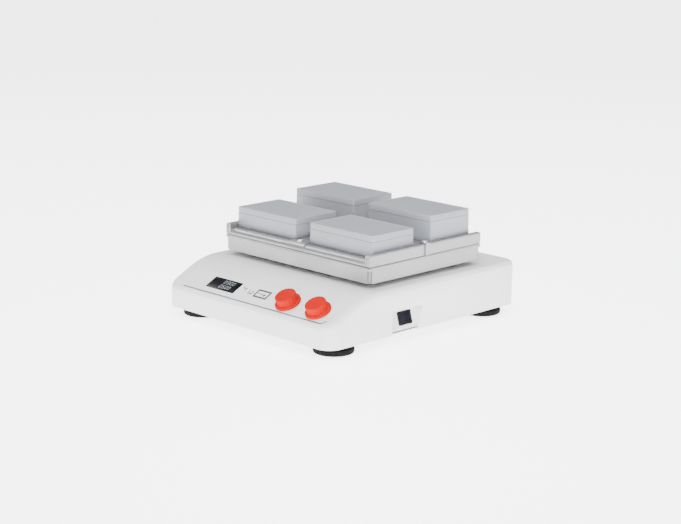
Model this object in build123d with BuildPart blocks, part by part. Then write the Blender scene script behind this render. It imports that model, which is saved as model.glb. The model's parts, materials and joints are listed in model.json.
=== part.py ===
from build123d import *
import os
from math import atan, cos, radians, sin, sqrt, tan

os.makedirs("parts", exist_ok=True)

# An orbital shaker for four microplates. Millimetres, +Z up, the table at Z = 0, the console on the -Y side and
# the power switch on the +X side. The origin lies on the table, under the middle of the housing.

# Housing
HOUSING_WIDTH = 350.0
HOUSING_DEPTH = 402.0
HOUSING_TOP = 81.5
HOUSING_WALL = 3.0
HOUSING_CORNER_R = 22.0
HOUSING_EDGE_R = 8.0
FLOOR_GAP = 14.5

# Console slope, from the sharp front edge that the rounding takes away
CONSOLE_LIP = 45.6
CONSOLE_ANGLE = 27.0
CONSOLE_BLEND_R = 120.0

# Feet
FOOT_DIAMETER = 59.0
FOOT_PUCK = 9.0
FOOT_NECK_DIAMETER = 46.0
FOOT_EDGE_R = 3.0
FOOT_DISH_DIAMETER = 34.0
FOOT_DISH_DEPTH = 2.5
FOOT_SETBACK_X = 35.0
FOOT_SETBACK_Y = 43.5
FOOT_SPACING_X = HOUSING_WIDTH - 2 * FOOT_SETBACK_X
FOOT_SPACING_Y = HOUSING_DEPTH - 2 * FOOT_SETBACK_Y
FOOT_SCREW_DIAMETER = 6.0
FOOT_SOCKET_DEPTH = 4.2

# Base plate and what fastens it
BASE_PLATE_THICKNESS = 2.0
BASE_PLATE_INSET = 1.0
BOSS_DIAMETER = 11.0
BOSS_SETBACK_X = 14.0
BOSS_FRONT_SETBACK = 96.0
BOSS_MIDDLE_SETBACK = 186.0
BOSS_BACK_SETBACK = 15.0
BOSS_SPACING_X = HOUSING_WIDTH - 2 * BOSS_SETBACK_X
SHELL_SCREW_DIAMETER = 4.0
SHELL_SCREW_HEAD = 2.4
SHELL_SCREW_LENGTH = 12.0
VENT_LENGTH = 34.0
VENT_WIDTH = 4.0
VENT_PITCH = 9.0
VENT_COUNT = 8

# Orbital drive
ORBIT_RADIUS = 2.0
DRIVE_SETBACK = 185.0
DRIVE_X = 0.0
DRIVE_Y = HOUSING_DEPTH / 2 - DRIVE_SETBACK
SHAFT_DIAMETER = 15.0
SHAFT_COLLAR_DIAMETER = 40.0
SHAFT_COLLAR_THICKNESS = 7.5
MAIN_BEARING_DIAMETER = 32.0
MAIN_BEARING_WIDTH = 9.0
BEARING_SHOULDER = 2.0
BEARING_SPACER = 1.0
BEARING_TUBE_DIAMETER = 40.0
BEARING_FLANGE_DIAMETER = 82.0
BEARING_FLANGE_THICKNESS = 5.0
STATOR_DIAMETER = 66.0
STATOR_HEIGHT = 14.0
STATOR_LIFT = 3.0
STATOR_TEETH = 12
STATOR_SLOT_DEPTH = 8.0
STATOR_SLOT_WIDTH = 7.0
STATOR_SLOT_MOUTH = 2.4
STATOR_TOOTH_TIP = 1.0
AIR_GAP = 1.0
MAGNET_THICKNESS = 3.0
MAGNET_COUNT = 14
MAGNET_SPACING = 3.0
ROTOR_WALL = 3.0
ROTOR_FLOOR_GAP = 4.5
ROTOR_HUB_DIAMETER = 30.0
ROTOR_HUB_HEIGHT = 5.0
ROTOR_WINDOWS = 6
ROTOR_WINDOW_DIAMETER = 12.0
COUNTERWEIGHT_RADIUS = 68.0
COUNTERWEIGHT_THICKNESS = 6.5
COUNTERWEIGHT_HUB_DIAMETER = 56.0

# Chassis inside the housing
CHASSIS_SETBACK_X = 31.0
CHASSIS_SETBACK_Y = 97.0
CHASSIS_WIDTH = HOUSING_WIDTH - 2 * CHASSIS_SETBACK_X
CHASSIS_DEPTH = HOUSING_DEPTH - 2 * CHASSIS_SETBACK_Y
CHASSIS_CORNER_R = 12.0
CHASSIS_THICKNESS = 4.0
CHASSIS_TOP = 54.0
PILLAR_DIAMETER = 13.0
PILLAR_ROWS = 3
PILLAR_SETBACK = 14.0
PILLAR_SPACING_X = CHASSIS_WIDTH - 2 * PILLAR_SETBACK
PILLAR_SPACING_Y = CHASSIS_DEPTH - 2 * PILLAR_SETBACK
CHASSIS_SLOT_LENGTH = 86.0

# Idler cranks that carry the platform
IDLER_SETBACK_X = 30.0
IDLER_SETBACK_Y = 29.0
IDLER_SPACING_X = CHASSIS_WIDTH - 2 * IDLER_SETBACK_X
IDLER_SPACING_Y = CHASSIS_DEPTH - 2 * IDLER_SETBACK_Y
PIN_CHAMFER = 0.8
IDLER_PIN_DIAMETER = 8.0
IDLER_WEB_DIAMETER = 22.0
IDLER_WEB_THICKNESS = 5.0
IDLER_BEARING_DIAMETER = 22.0
IDLER_BEARING_WIDTH = 7.0
IDLER_HOUSING_DIAMETER = 30.0
IDLER_FLANGE_DIAMETER = 44.0
IDLER_FLANGE_THICKNESS = 4.0

# Seals in the top of the housing
SEAL_WALL = 4.0
SEAL_LIP = 3.0
SEAL_LIP_HEIGHT = 1.5
SEAL_CLEARANCE = 1.5

# Platform pan
PLATFORM_WIDTH = 304.5
PLATFORM_DEPTH = 236.0
PLATFORM_GAP = 7.9
PAN_HEIGHT = 24.6
SHEET = 1.5
PAN_BEND_R = 3.0
PAN_HEM = 9.0
PAN_RELIEF = 5.0
PAN_RELIEF_HEIGHT = 18.6
HUB_TUBE_DIAMETER = 44.0
HUB_FLANGE_DIAMETER = 74.0
HUB_FLANGE_THICKNESS = 4.0
CUP_FLANGE_THICKNESS = 3.0

# Deck tray, side rails and dividers
DECK_HEIGHT = 9.3
DECK_BEND_R = 8.0
RAIL_WIDTH = 9.3
RAIL_HEIGHT = 15.9
DIVIDER_SHEET = 1.8
DIVIDER_TAB_WIDTH = 34.0
DIVIDER_TAB_DROP = 8.0
DIVIDER_CLEARANCE = 0.9
DIVIDER_STEP_GAP = 1.0
TONGUE_WIDTH = 9.0
DOME_SCREW_DIAMETER = 9.0
DOME_SCREW_HEIGHT = 3.0
DOME_SCREW_CROWN_R = 2.4
DOME_SCREW_SHANK = 4.0
DOME_SCREW_SETBACK = 10.0

# Microplates, to the standard footprint
PLATE_LENGTH = 127.76
PLATE_WIDTH = 85.48
PLATE_CORNER_R = 5.0
PLATE_GAP_X = 29.6
PLATE_GAP_Y = 35.4
DEEP_PLATE_HEIGHT = 43.7
LOW_PLATE_HEIGHT = 31.2
PLATE_SKIRT = 11.0
PLATE_INSET = 1.88
WELL_PITCH = 18.0
WELL_COLUMN_COUNT = 6
WELL_ROW_COUNT = 4
WELL_SIZE = 16.2
WELL_FLOOR = 2.5
PLATE_BASE_RECESS = 2.5
PLATE_BASE_RIM = 2.2
LID_OVERHANG = 1.6
LID_HEIGHT = 9.0
LID_WALL = 1.3
LID_TOP = 1.6

# Console fittings, x across and s up the slope from the sharp front edge
OVERLAY_SETBACK = 23.0
OVERLAY_WIDTH = HOUSING_WIDTH - 2 * OVERLAY_SETBACK
OVERLAY_HEIGHT = 42.5
OVERLAY_CENTRE_S = 28.0
OVERLAY_CORNER_R = 9.0
OVERLAY_THICKNESS = 0.4
WINDOW_WIDTH = 60.0
WINDOW_HEIGHT = 24.0
WINDOW_SETBACK = 103.6
WINDOW_X = WINDOW_SETBACK - HOUSING_WIDTH / 2
WINDOW_S = 29.8
WINDOW_THICKNESS = 0.9
WINDOW_LEDGE = 2.0
TIMER_SETBACK = 107.8
SPEED_SETBACK = 46.9
KNOB_X = (HOUSING_WIDTH / 2 - TIMER_SETBACK, HOUSING_WIDTH / 2 - SPEED_SETBACK)
KNOB_S = 28.5
BOARD_DEPTH = 10.0
BOARD_THICKNESS = 1.6
BOARD_SETBACK = 39.0
BOARD_WIDTH = HOUSING_WIDTH - 2 * BOARD_SETBACK
BOARD_HEIGHT = 34.0
BOARD_X = 16.0
BOARD_CORNER_R = 2.0
STANDOFF_DIAMETER = 6.0
STANDOFF_INSET = 5.0

# Knobs and push encoders
KNOB_DIAMETER = 38.4
KNOB_HEIGHT = 14.4
KNOB_SKIRT = 3.9
KNOB_SKIRT_R = 1.6
KNOB_GRIP_DIAMETER = 29.4
KNOB_GRIP_R = 1.4
KNOB_FLUTES = 18
KNOB_FLUTE_DIAMETER = 3.0
KNOB_FLUTE_DEPTH = 0.5
KNOB_LIFT = 1.3
KNOB_POCKET_DIAMETER = 20.0
KNOB_POCKET_DEPTH = 4.0
SPINDLE_DIAMETER = 6.0
SPINDLE_TOP = 12.0
BUSHING_DIAMETER = 7.0
BUSHING_TOP = 3.2
ENCODER_SIZE = 12.4
ENCODER_NUT_FLATS = 10.0
ENCODER_NUT_THICKNESS = 2.0
PLUNGER_DIAMETER = 7.6
PLUNGER_THICKNESS = 1.2
PRESS_TRAVEL = 0.5

# Power switch in its recess on the right side
RECESS_SETBACK = 125.0
RECESS_WIDTH = 62.0
RECESS_FRONT_Y = RECESS_SETBACK - HOUSING_DEPTH / 2
RECESS_BACK_Y = RECESS_FRONT_Y + RECESS_WIDTH
RECESS_TAPER = 7.5
RECESS_TOP = 48.5
RECESS_DEPTH_TOP = 12.0
RECESS_DEPTH_BOTTOM = 3.2
SWITCH_OFFSET = 33.0
SWITCH_Y = RECESS_FRONT_Y + SWITCH_OFFSET
SWITCH_Z = 33.5
SWITCH_WIDTH = 27.0
SWITCH_HEIGHT = 20.0
BEZEL_THICKNESS = 1.6
SWITCH_RIM = 2.6
SWITCH_BODY_WALL = 1.2
SWITCH_BODY_DEPTH = 16.0
ROCKER_END_GAP = 0.9
ROCKER_SIDE_GAP = 0.35
ROCKER_TILT = 8.0
ROCKER_RISE = 2.8
ROCKER_DEPTH = 5.0
ROCKER_PIVOT_DIAMETER = 3.0
ROCKER_PIVOT_LENGTH = 0.8
ROCKER_PIVOT_COVER = 1.0

# Mains inlet in its recess at the back
INLET_SETBACK = 63.0
INLET_X = INLET_SETBACK - HOUSING_WIDTH / 2
INLET_Z = 47.0
INLET_RECESS_WIDTH = 46.0
INLET_RECESS_HEIGHT = 36.0
INLET_RECESS_DEPTH = 6.0
INLET_BEZEL_WIDTH = 31.0
INLET_BEZEL_HEIGHT = 24.0
INLET_BEZEL_THICKNESS = 2.5
INLET_BEZEL_R = 2.0
INLET_BODY_WIDTH = 27.4
INLET_BODY_HEIGHT = 19.8
INLET_BODY_DEPTH = 20.0
INLET_CAVITY_WIDTH = 24.4
INLET_CAVITY_HEIGHT = 16.4
INLET_CAVITY_DEPTH = 16.0
INLET_KEY = 4.1
INLET_PIN_LENGTH = 12.0
INLET_PIN_PITCH = 7.0
INLET_PIN_OFFSET = 2.0
INLET_PIN_WIDTH = 2.0
INLET_PIN_HEIGHT = 4.0

# Power supply board behind the chassis
SUPPLY_WIDTH = 150.0
SUPPLY_DEPTH = 52.0
SUPPLY_X = 20.0
SUPPLY_SETBACK = 43.0
SUPPLY_Y = HOUSING_DEPTH / 2 - SUPPLY_SETBACK
SUPPLY_STANDOFF = 8.0
TRANSFORMER_WIDTH = 33.0
TRANSFORMER_DEPTH = 31.2
TRANSFORMER_HEIGHT = 23.4
CAPACITOR_X = -45.0
CAPACITOR_DIAMETER = 18.7
CAPACITOR_HEIGHT = 28.6
HEAT_SINK_X = 45.0
HEAT_SINK_WIDTH = 36.0
HEAT_SINK_THICKNESS = 4.8
HEAT_SINK_HEIGHT = 20.8

# Clearances, and how far a cut runs past what it cuts
CUT_OVERRUN = 1.0
FIT_GAP = 0.3
SLIP_GAP = 0.2
RUNNING_GAP = 0.05
SEAT_GAP = 0.02

UPRIGHT = (Align.CENTER, Align.CENTER, Align.MIN)
HANGING = (Align.CENTER, Align.CENTER, Align.MAX)

# Levels worked out from the sizes above
base_plate_bottom = FLOOR_GAP + BASE_PLATE_INSET
base_plate_top = base_plate_bottom + BASE_PLATE_THICKNESS
ceiling = HOUSING_TOP - HOUSING_WALL
chassis_bottom = CHASSIS_TOP - CHASSIS_THICKNESS
platform_bottom = HOUSING_TOP + PLATFORM_GAP
pan_top = platform_bottom + PAN_HEIGHT
pan_underside = pan_top - SHEET
deck_top = pan_top + DECK_HEIGHT
rail_top = pan_top + RAIL_HEIGHT
platform_x = DRIVE_X + ORBIT_RADIUS
platform_y = DRIVE_Y
plate_bottom = deck_top + FIT_GAP
idler_centres = [
    (DRIVE_X + side_x * IDLER_SPACING_X / 2, DRIVE_Y + side_y * IDLER_SPACING_Y / 2)
    for side_y in (-1, 1)
    for side_x in (-1, 1)
]
corner_names = ("front_left", "front_right", "rear_left", "rear_right")


def housing_form(inset, bottom):
    """The outer form of the housing, or with the wall as inset the room inside it."""
    tilt = radians(CONSOLE_ANGLE)
    half_depth = HOUSING_DEPTH / 2 - inset
    top = HOUSING_TOP - inset
    lip = CONSOLE_LIP + inset * (tan(tilt) - 1 / cos(tilt))
    crease = -half_depth + (top - lip) / tan(tilt)
    with BuildPart() as form:
        with BuildSketch(Plane.YZ) as side_view:
            with BuildLine():
                Polyline(
                    (-half_depth, bottom),
                    (-half_depth, lip),
                    (crease, top),
                    (half_depth, top),
                    (half_depth, bottom),
                    close=True,
                )
            make_face()
            blend = side_view.vertices().sort_by_distance(Vector(crease, top, 0))[0]
            fillet(blend, radius=CONSOLE_BLEND_R - inset)
        extrude(amount=HOUSING_WIDTH / 2 - inset, both=True)
        with BuildSketch(Plane.XY.offset(bottom)):
            RectangleRounded(HOUSING_WIDTH - 2 * inset, HOUSING_DEPTH - 2 * inset, HOUSING_CORNER_R - inset)
        extrude(amount=top - bottom, mode=Mode.INTERSECT)
        rim = form.edges().filter_by(Axis.Z, reverse=True)
        rim = rim.filter_by(lambda e: e.center().Z > (bottom + lip) / 2)
        seams = rim.filter_by(Axis.X)
        seams = seams.filter_by(lambda e: abs(e.center().Y) < half_depth - inset - CUT_OVERRUN)
        fillet([edge for edge in rim if edge not in seams], radius=HOUSING_EDGE_R - inset)
    return form.part


# The console plane, its X across the front and its Y up the slope
console = Plane(
    origin=(0, -HOUSING_DEPTH / 2, CONSOLE_LIP),
    x_dir=(1, 0, 0),
    z_dir=(0, -sin(radians(CONSOLE_ANGLE)), cos(radians(CONSOLE_ANGLE))),
)

console_out = Axis(console.origin, console.z_dir)

# The back wall of the switch recess leans out of the housing towards its foot
recess_height = RECESS_TOP - FLOOR_GAP
recess_lean = (RECESS_DEPTH_TOP - RECESS_DEPTH_BOTTOM) / recess_height
switch_depth = RECESS_DEPTH_BOTTOM + (SWITCH_Z - FLOOR_GAP) * recess_lean
switch_plane = Plane(
    origin=(HOUSING_WIDTH / 2 - switch_depth, SWITCH_Y, SWITCH_Z),
    x_dir=(0, 1, 0),
    z_dir=(cos(atan(recess_lean)), 0, sin(atan(recess_lean))),
)
inlet_plane = Plane(
    origin=(INLET_X, HOUSING_DEPTH / 2 - INLET_RECESS_DEPTH, INLET_Z),
    x_dir=(-1, 0, 0),
    z_dir=(0, 1, 0),
)


def switch_recess(grow, mouth_x):
    """The hollow for the switch, or with the wall as grow the pocket that lines it."""
    low = FLOOR_GAP - CUT_OVERRUN if grow == 0 else base_plate_top + FIT_GAP
    high = RECESS_TOP + grow
    back_x = HOUSING_WIDTH / 2 - grow
    with BuildPart() as recess:
        with BuildSketch(Plane.XZ):
            with BuildLine():
                Polyline(
                    (mouth_x, low),
                    (back_x - RECESS_DEPTH_BOTTOM - (low - FLOOR_GAP) * recess_lean, low),
                    (back_x - RECESS_DEPTH_BOTTOM - (high - FLOOR_GAP) * recess_lean, high),
                    (mouth_x, high),
                    close=True,
                )
            make_face()
        extrude(amount=HOUSING_DEPTH / 2)
        with BuildSketch(Plane.YZ):
            with BuildLine():
                taper = RECESS_TAPER / recess_height
                Polyline(
                    (RECESS_FRONT_Y - grow, low),
                    (RECESS_FRONT_Y - grow, high),
                    (RECESS_BACK_Y + grow, high),
                    (RECESS_BACK_Y + grow - (high - low) * taper, low),
                    close=True,
                )
            make_face()
        extrude(amount=HOUSING_WIDTH, mode=Mode.INTERSECT)
    return recess.part


outer_form = housing_form(0, FLOOR_GAP)
inner_form = housing_form(HOUSING_WALL, FLOOR_GAP - CUT_OVERRUN)
recess_pocket = switch_recess(HOUSING_WALL, HOUSING_WIDTH / 2 - HOUSING_WALL / 2)
recess_hollow = switch_recess(0, HOUSING_WIDTH / 2 + CUT_OVERRUN)

# Screw bosses hang from the ceiling down to the base plate
boss_rows = (
    BOSS_FRONT_SETBACK - HOUSING_DEPTH / 2,
    HOUSING_DEPTH / 2 - BOSS_MIDDLE_SETBACK,
    HOUSING_DEPTH / 2 - BOSS_BACK_SETBACK,
)
boss_centres = [(side * BOSS_SPACING_X / 2, row) for side in (-1, 1) for row in boss_rows]
with BuildPart() as boss_columns:
    with Locations([(boss_x, boss_y, base_plate_top) for boss_x, boss_y in boss_centres]):
        Cylinder(BOSS_DIAMETER / 2, ceiling + HOUSING_WALL / 2 - base_plate_top, align=UPRIGHT)

main_seal_bore = SHAFT_DIAMETER / 2 + ORBIT_RADIUS + SEAL_CLEARANCE
idler_seal_bore = IDLER_PIN_DIAMETER / 2 + ORBIT_RADIUS + SEAL_CLEARANCE
seal_places = [((DRIVE_X, DRIVE_Y), main_seal_bore)] + [(centre, idler_seal_bore) for centre in idler_centres]

# Housing: a moulded shell, open below, with a sloping console and two recesses
with BuildPart() as housing_shell:
    add(outer_form)
    add(inner_form, mode=Mode.SUBTRACT)
    add(recess_pocket)
    add(recess_hollow, mode=Mode.SUBTRACT)
    with BuildSketch(Plane.XZ.offset(-(HOUSING_DEPTH / 2 - HOUSING_WALL / 2))):
        with Locations((INLET_X, INLET_Z)):
            RectangleRounded(
                INLET_RECESS_WIDTH + 2 * HOUSING_WALL, INLET_RECESS_HEIGHT + 2 * HOUSING_WALL, 2 * HOUSING_WALL
            )
    extrude(amount=INLET_RECESS_DEPTH + HOUSING_WALL / 2)
    with BuildSketch(Plane.XZ.offset(-HOUSING_DEPTH / 2)):
        with Locations((INLET_X, INLET_Z)):
            RectangleRounded(INLET_RECESS_WIDTH, INLET_RECESS_HEIGHT, HOUSING_WALL)
    extrude(amount=INLET_RECESS_DEPTH, mode=Mode.SUBTRACT)
    with BuildSketch(inlet_plane):
        Rectangle(INLET_BODY_WIDTH + 2 * SLIP_GAP, INLET_BODY_HEIGHT + 2 * SLIP_GAP)
    extrude(amount=-2 * HOUSING_WALL, mode=Mode.SUBTRACT)
    add(boss_columns.part)
    with Locations([(boss_x, boss_y, base_plate_top) for boss_x, boss_y in boss_centres]):
        Cylinder(SHELL_SCREW_DIAMETER / 2, SHELL_SCREW_LENGTH, align=UPRIGHT, mode=Mode.SUBTRACT)
    for (seal_x, seal_y), bore in seal_places:
        with Locations((seal_x, seal_y, ceiling)):
            Cylinder(bore + SEAL_WALL, HOUSING_WALL, align=UPRIGHT, mode=Mode.SUBTRACT)
    with BuildSketch(console):
        with Locations((WINDOW_X, WINDOW_S)):
            Rectangle(WINDOW_WIDTH - 2 * WINDOW_LEDGE, WINDOW_HEIGHT - 2 * WINDOW_LEDGE)
        with Locations([(knob_x, KNOB_S) for knob_x in KNOB_X]):
            Circle(BUSHING_DIAMETER / 2 + SLIP_GAP)
    extrude(amount=-HOUSING_WALL - CUT_OVERRUN, mode=Mode.SUBTRACT)
    with BuildSketch(switch_plane):
        Rectangle(SWITCH_WIDTH - 2 * SWITCH_RIM, SWITCH_HEIGHT - 2 * SWITCH_RIM)
    extrude(amount=-2 * HOUSING_WALL, mode=Mode.SUBTRACT)
housing_shell.part.label = "housing_shell"
export_step(housing_shell.part, "parts/housing_shell.step")

# Base plate: a steel floor inside the lower edge of the housing
with BuildPart() as base_plate:
    with BuildSketch(Plane.XY.offset(base_plate_bottom)):
        RectangleRounded(
            HOUSING_WIDTH - 2 * (HOUSING_WALL + FIT_GAP),
            HOUSING_DEPTH - 2 * (HOUSING_WALL + FIT_GAP),
            HOUSING_CORNER_R - HOUSING_WALL - FIT_GAP,
        )
        with Locations(boss_centres):
            Circle(SHELL_SCREW_DIAMETER / 2 + SLIP_GAP, mode=Mode.SUBTRACT)
        with GridLocations(FOOT_SPACING_X, FOOT_SPACING_Y, 2, 2):
            Circle(FOOT_SCREW_DIAMETER / 2 + SLIP_GAP, mode=Mode.SUBTRACT)
        for vent_y in (-HOUSING_DEPTH / 4, HOUSING_DEPTH / 4 + DRIVE_Y):
            with Locations((DRIVE_X, vent_y)):
                with GridLocations(VENT_PITCH, 0, VENT_COUNT, 1):
                    SlotOverall(VENT_LENGTH, VENT_WIDTH, rotation=90, mode=Mode.SUBTRACT)
    extrude(amount=BASE_PLATE_THICKNESS)
    add(recess_hollow, mode=Mode.SUBTRACT)
base_plate.part.label = "base_plate"
export_step(base_plate.part, "parts/base_plate.step")

# Screws that hold the base plate in the bosses of the shell
with BuildPart() as base_plate_screws:
    with Locations([(boss_x, boss_y, base_plate_bottom) for boss_x, boss_y in boss_centres]):
        Cylinder(SHELL_SCREW_DIAMETER, SHELL_SCREW_HEAD, align=HANGING)
        Cylinder(SHELL_SCREW_DIAMETER / 2 - SEAT_GAP, SHELL_SCREW_LENGTH, align=UPRIGHT)
        with Locations((0, 0, -SHELL_SCREW_HEAD)):
            Cylinder(SHELL_SCREW_DIAMETER / 2, SHELL_SCREW_HEAD / 2, align=UPRIGHT, mode=Mode.SUBTRACT)
base_plate_screws.part.label = "base_plate_screws"
export_step(base_plate_screws.part, "parts/base_plate_screws.step")

# Feet: broad rubber pucks with a dished sole and a neck up to the base plate
foot_centres = [
    (side_x * FOOT_SPACING_X / 2, side_y * FOOT_SPACING_Y / 2) for side_y in (-1, 1) for side_x in (-1, 1)
]
for corner_name, (foot_x, foot_y) in zip(corner_names, foot_centres):
    with BuildPart() as foot:
        with BuildSketch(Plane.XZ.offset(-foot_y)) as half_section:
            with BuildLine():
                Polyline(
                    (foot_x + FOOT_SCREW_DIAMETER, FOOT_DISH_DEPTH),
                    (foot_x + FOOT_DISH_DIAMETER / 2 - FOOT_DISH_DEPTH, FOOT_DISH_DEPTH),
                    (foot_x + FOOT_DISH_DIAMETER / 2, 0),
                    (foot_x + FOOT_DIAMETER / 2, 0),
                    (foot_x + FOOT_DIAMETER / 2, FOOT_PUCK),
                    (foot_x + FOOT_NECK_DIAMETER / 2, base_plate_bottom),
                    (foot_x + FOOT_SCREW_DIAMETER / 2 + SLIP_GAP, base_plate_bottom),
                    (foot_x + FOOT_SCREW_DIAMETER / 2 + SLIP_GAP, FOOT_PUCK - FOOT_EDGE_R),
                    (foot_x + FOOT_SCREW_DIAMETER, FOOT_PUCK - FOOT_EDGE_R),
                    close=True,
                )
            make_face()
            rounded = [
                half_section.vertices().sort_by_distance(Vector(foot_x + FOOT_DIAMETER / 2, level, 0))[0]
                for level in (0, FOOT_PUCK)
            ]
            fillet(rounded, radius=FOOT_EDGE_R)
        revolve(axis=Axis((foot_x, foot_y, 0), (0, 0, 1)))
    foot.part.label = f"foot_{corner_name}"
    export_step(foot.part, f"parts/foot_{corner_name}.step")

# Foot screws: pan heads up in the soles, nuts on the base plate
foot_screw_head = FOOT_PUCK - FOOT_EDGE_R
with BuildPart() as foot_screws:
    with Locations([(foot_x, foot_y, foot_screw_head) for foot_x, foot_y in foot_centres]):
        Cylinder(FOOT_SCREW_DIAMETER - FIT_GAP, foot_screw_head / 2, align=HANGING)
        Cylinder(FOOT_SCREW_DIAMETER / 2, base_plate_top + FOOT_SCREW_DIAMETER - foot_screw_head, align=UPRIGHT)
    with BuildSketch(Plane.XY.offset(base_plate_top)):
        with Locations(foot_centres):
            RegularPolygon(FOOT_SCREW_DIAMETER, 6)
    extrude(amount=FOOT_SOCKET_DEPTH)
foot_screws.part.label = "foot_screws"
export_step(foot_screws.part, "parts/foot_screws.step")

# Chassis plate on its pillars
tube_hole_r = BEARING_TUBE_DIAMETER / 2 + SLIP_GAP
with BuildPart() as chassis_plate:
    with BuildSketch(Plane.XY.offset(chassis_bottom)):
        with Locations((DRIVE_X, DRIVE_Y)):
            RectangleRounded(CHASSIS_WIDTH, CHASSIS_DEPTH, CHASSIS_CORNER_R)
            Circle(tube_hole_r, mode=Mode.SUBTRACT)
            with GridLocations(0, PILLAR_SPACING_Y / 2, 1, 2):
                SlotOverall(CHASSIS_SLOT_LENGTH, PILLAR_DIAMETER, mode=Mode.SUBTRACT)
        with Locations(idler_centres):
            Circle(IDLER_BEARING_DIAMETER / 2 - BEARING_SHOULDER, mode=Mode.SUBTRACT)
    extrude(amount=CHASSIS_THICKNESS)
chassis_plate.part.label = "chassis_plate"
export_step(chassis_plate.part, "parts/chassis_plate.step")

with BuildPart() as chassis_pillars:
    with BuildSketch(Plane.XY.offset(base_plate_top)):
        with Locations((DRIVE_X, DRIVE_Y)):
            with GridLocations(PILLAR_SPACING_X, PILLAR_SPACING_Y / 2, 2, PILLAR_ROWS):
                RegularPolygon(PILLAR_DIAMETER / 2, 6)
    extrude(amount=chassis_bottom - base_plate_top)
chassis_pillars.part.label = "chassis_pillars"
export_step(chassis_pillars.part, "parts/chassis_pillars.step")

# Main bearing housing: a flange on the chassis and a tube that also carries the stator
rotor_low = base_plate_top + ROTOR_FLOOR_GAP
rotor_inside = rotor_low + ROTOR_WALL
tube_bottom = rotor_inside + ROTOR_HUB_HEIGHT + BEARING_SPACER
main_housing_top = CHASSIS_TOP + MAIN_BEARING_WIDTH + BEARING_SHOULDER
with BuildPart() as main_bearing_housing:
    with Locations((DRIVE_X, DRIVE_Y, tube_bottom)):
        Cylinder(BEARING_TUBE_DIAMETER / 2, main_housing_top - tube_bottom, align=UPRIGHT)
    with Locations((DRIVE_X, DRIVE_Y, CHASSIS_TOP)):
        Cylinder(BEARING_FLANGE_DIAMETER / 2, BEARING_FLANGE_THICKNESS, align=UPRIGHT)
    with Locations((DRIVE_X, DRIVE_Y, tube_bottom)):
        Cylinder(
            MAIN_BEARING_DIAMETER / 2 - BEARING_SHOULDER, main_housing_top - tube_bottom,
            align=UPRIGHT, mode=Mode.SUBTRACT,
        )
        Cylinder(MAIN_BEARING_DIAMETER / 2, MAIN_BEARING_WIDTH, align=UPRIGHT, mode=Mode.SUBTRACT)
    with Locations((DRIVE_X, DRIVE_Y, main_housing_top)):
        Cylinder(MAIN_BEARING_DIAMETER / 2, MAIN_BEARING_WIDTH, align=HANGING, mode=Mode.SUBTRACT)
main_bearing_housing.part.label = "main_bearing_housing"
export_step(main_bearing_housing.part, "parts/main_bearing_housing.step")

# Idler bearing housings: four flanged cups on the chassis plate, two bearings in each
idler_housing_top = CHASSIS_TOP + 2 * IDLER_BEARING_WIDTH + BEARING_SPACER
with BuildPart() as idler_bearing_housings:
    with Locations([(idler_x, idler_y, CHASSIS_TOP) for idler_x, idler_y in idler_centres]):
        Cylinder(IDLER_FLANGE_DIAMETER / 2, IDLER_FLANGE_THICKNESS, align=UPRIGHT)
        Cylinder(IDLER_HOUSING_DIAMETER / 2, idler_housing_top - CHASSIS_TOP, align=UPRIGHT)
    with Locations([(idler_x, idler_y, CHASSIS_TOP) for idler_x, idler_y in idler_centres]):
        Cylinder(IDLER_BEARING_DIAMETER / 2, idler_housing_top - CHASSIS_TOP, align=UPRIGHT, mode=Mode.SUBTRACT)
idler_bearing_housings.part.label = "idler_bearing_housings"
export_step(idler_bearing_housings.part, "parts/idler_bearing_housings.step")

# All bearings of the base, as plain rings with running clearance on their shafts
with BuildPart() as base_bearings:
    with Locations(
        (DRIVE_X, DRIVE_Y, tube_bottom),
        (DRIVE_X, DRIVE_Y, main_housing_top - MAIN_BEARING_WIDTH),
    ):
        Cylinder(MAIN_BEARING_DIAMETER / 2 - SEAT_GAP, MAIN_BEARING_WIDTH, align=UPRIGHT)
        Cylinder(SHAFT_DIAMETER / 2 + RUNNING_GAP, MAIN_BEARING_WIDTH, align=UPRIGHT, mode=Mode.SUBTRACT)
    with Locations(
        [
            (idler_x, idler_y, level)
            for idler_x, idler_y in idler_centres
            for level in (CHASSIS_TOP, idler_housing_top - IDLER_BEARING_WIDTH)
        ]
    ):
        Cylinder(IDLER_BEARING_DIAMETER / 2 - SEAT_GAP, IDLER_BEARING_WIDTH, align=UPRIGHT)
        Cylinder(IDLER_PIN_DIAMETER / 2 + RUNNING_GAP, IDLER_BEARING_WIDTH, align=UPRIGHT, mode=Mode.SUBTRACT)
base_bearings.part.label = "base_bearings"
export_step(base_bearings.part, "parts/base_bearings.step")

# Outrunner motor: toothed stator on the bearing tube, rotor bell with magnets round it
stator_low = rotor_inside + ROTOR_HUB_HEIGHT + STATOR_LIFT
with BuildPart() as motor_stator:
    with BuildSketch(Plane.XY.offset(stator_low)):
        with Locations((DRIVE_X, DRIVE_Y)):
            Circle(STATOR_DIAMETER / 2)
            Circle(BEARING_TUBE_DIAMETER / 2 + SEAT_GAP, mode=Mode.SUBTRACT)
            with PolarLocations((STATOR_DIAMETER - STATOR_SLOT_DEPTH) / 2 - STATOR_TOOTH_TIP, STATOR_TEETH):
                Rectangle(STATOR_SLOT_DEPTH, STATOR_SLOT_WIDTH, mode=Mode.SUBTRACT)
            with PolarLocations(STATOR_DIAMETER / 2, STATOR_TEETH):
                Rectangle(STATOR_SLOT_DEPTH, STATOR_SLOT_MOUTH, mode=Mode.SUBTRACT)
    extrude(amount=STATOR_HEIGHT)
motor_stator.part.label = "motor_stator"
export_step(motor_stator.part, "parts/motor_stator.step")

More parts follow.
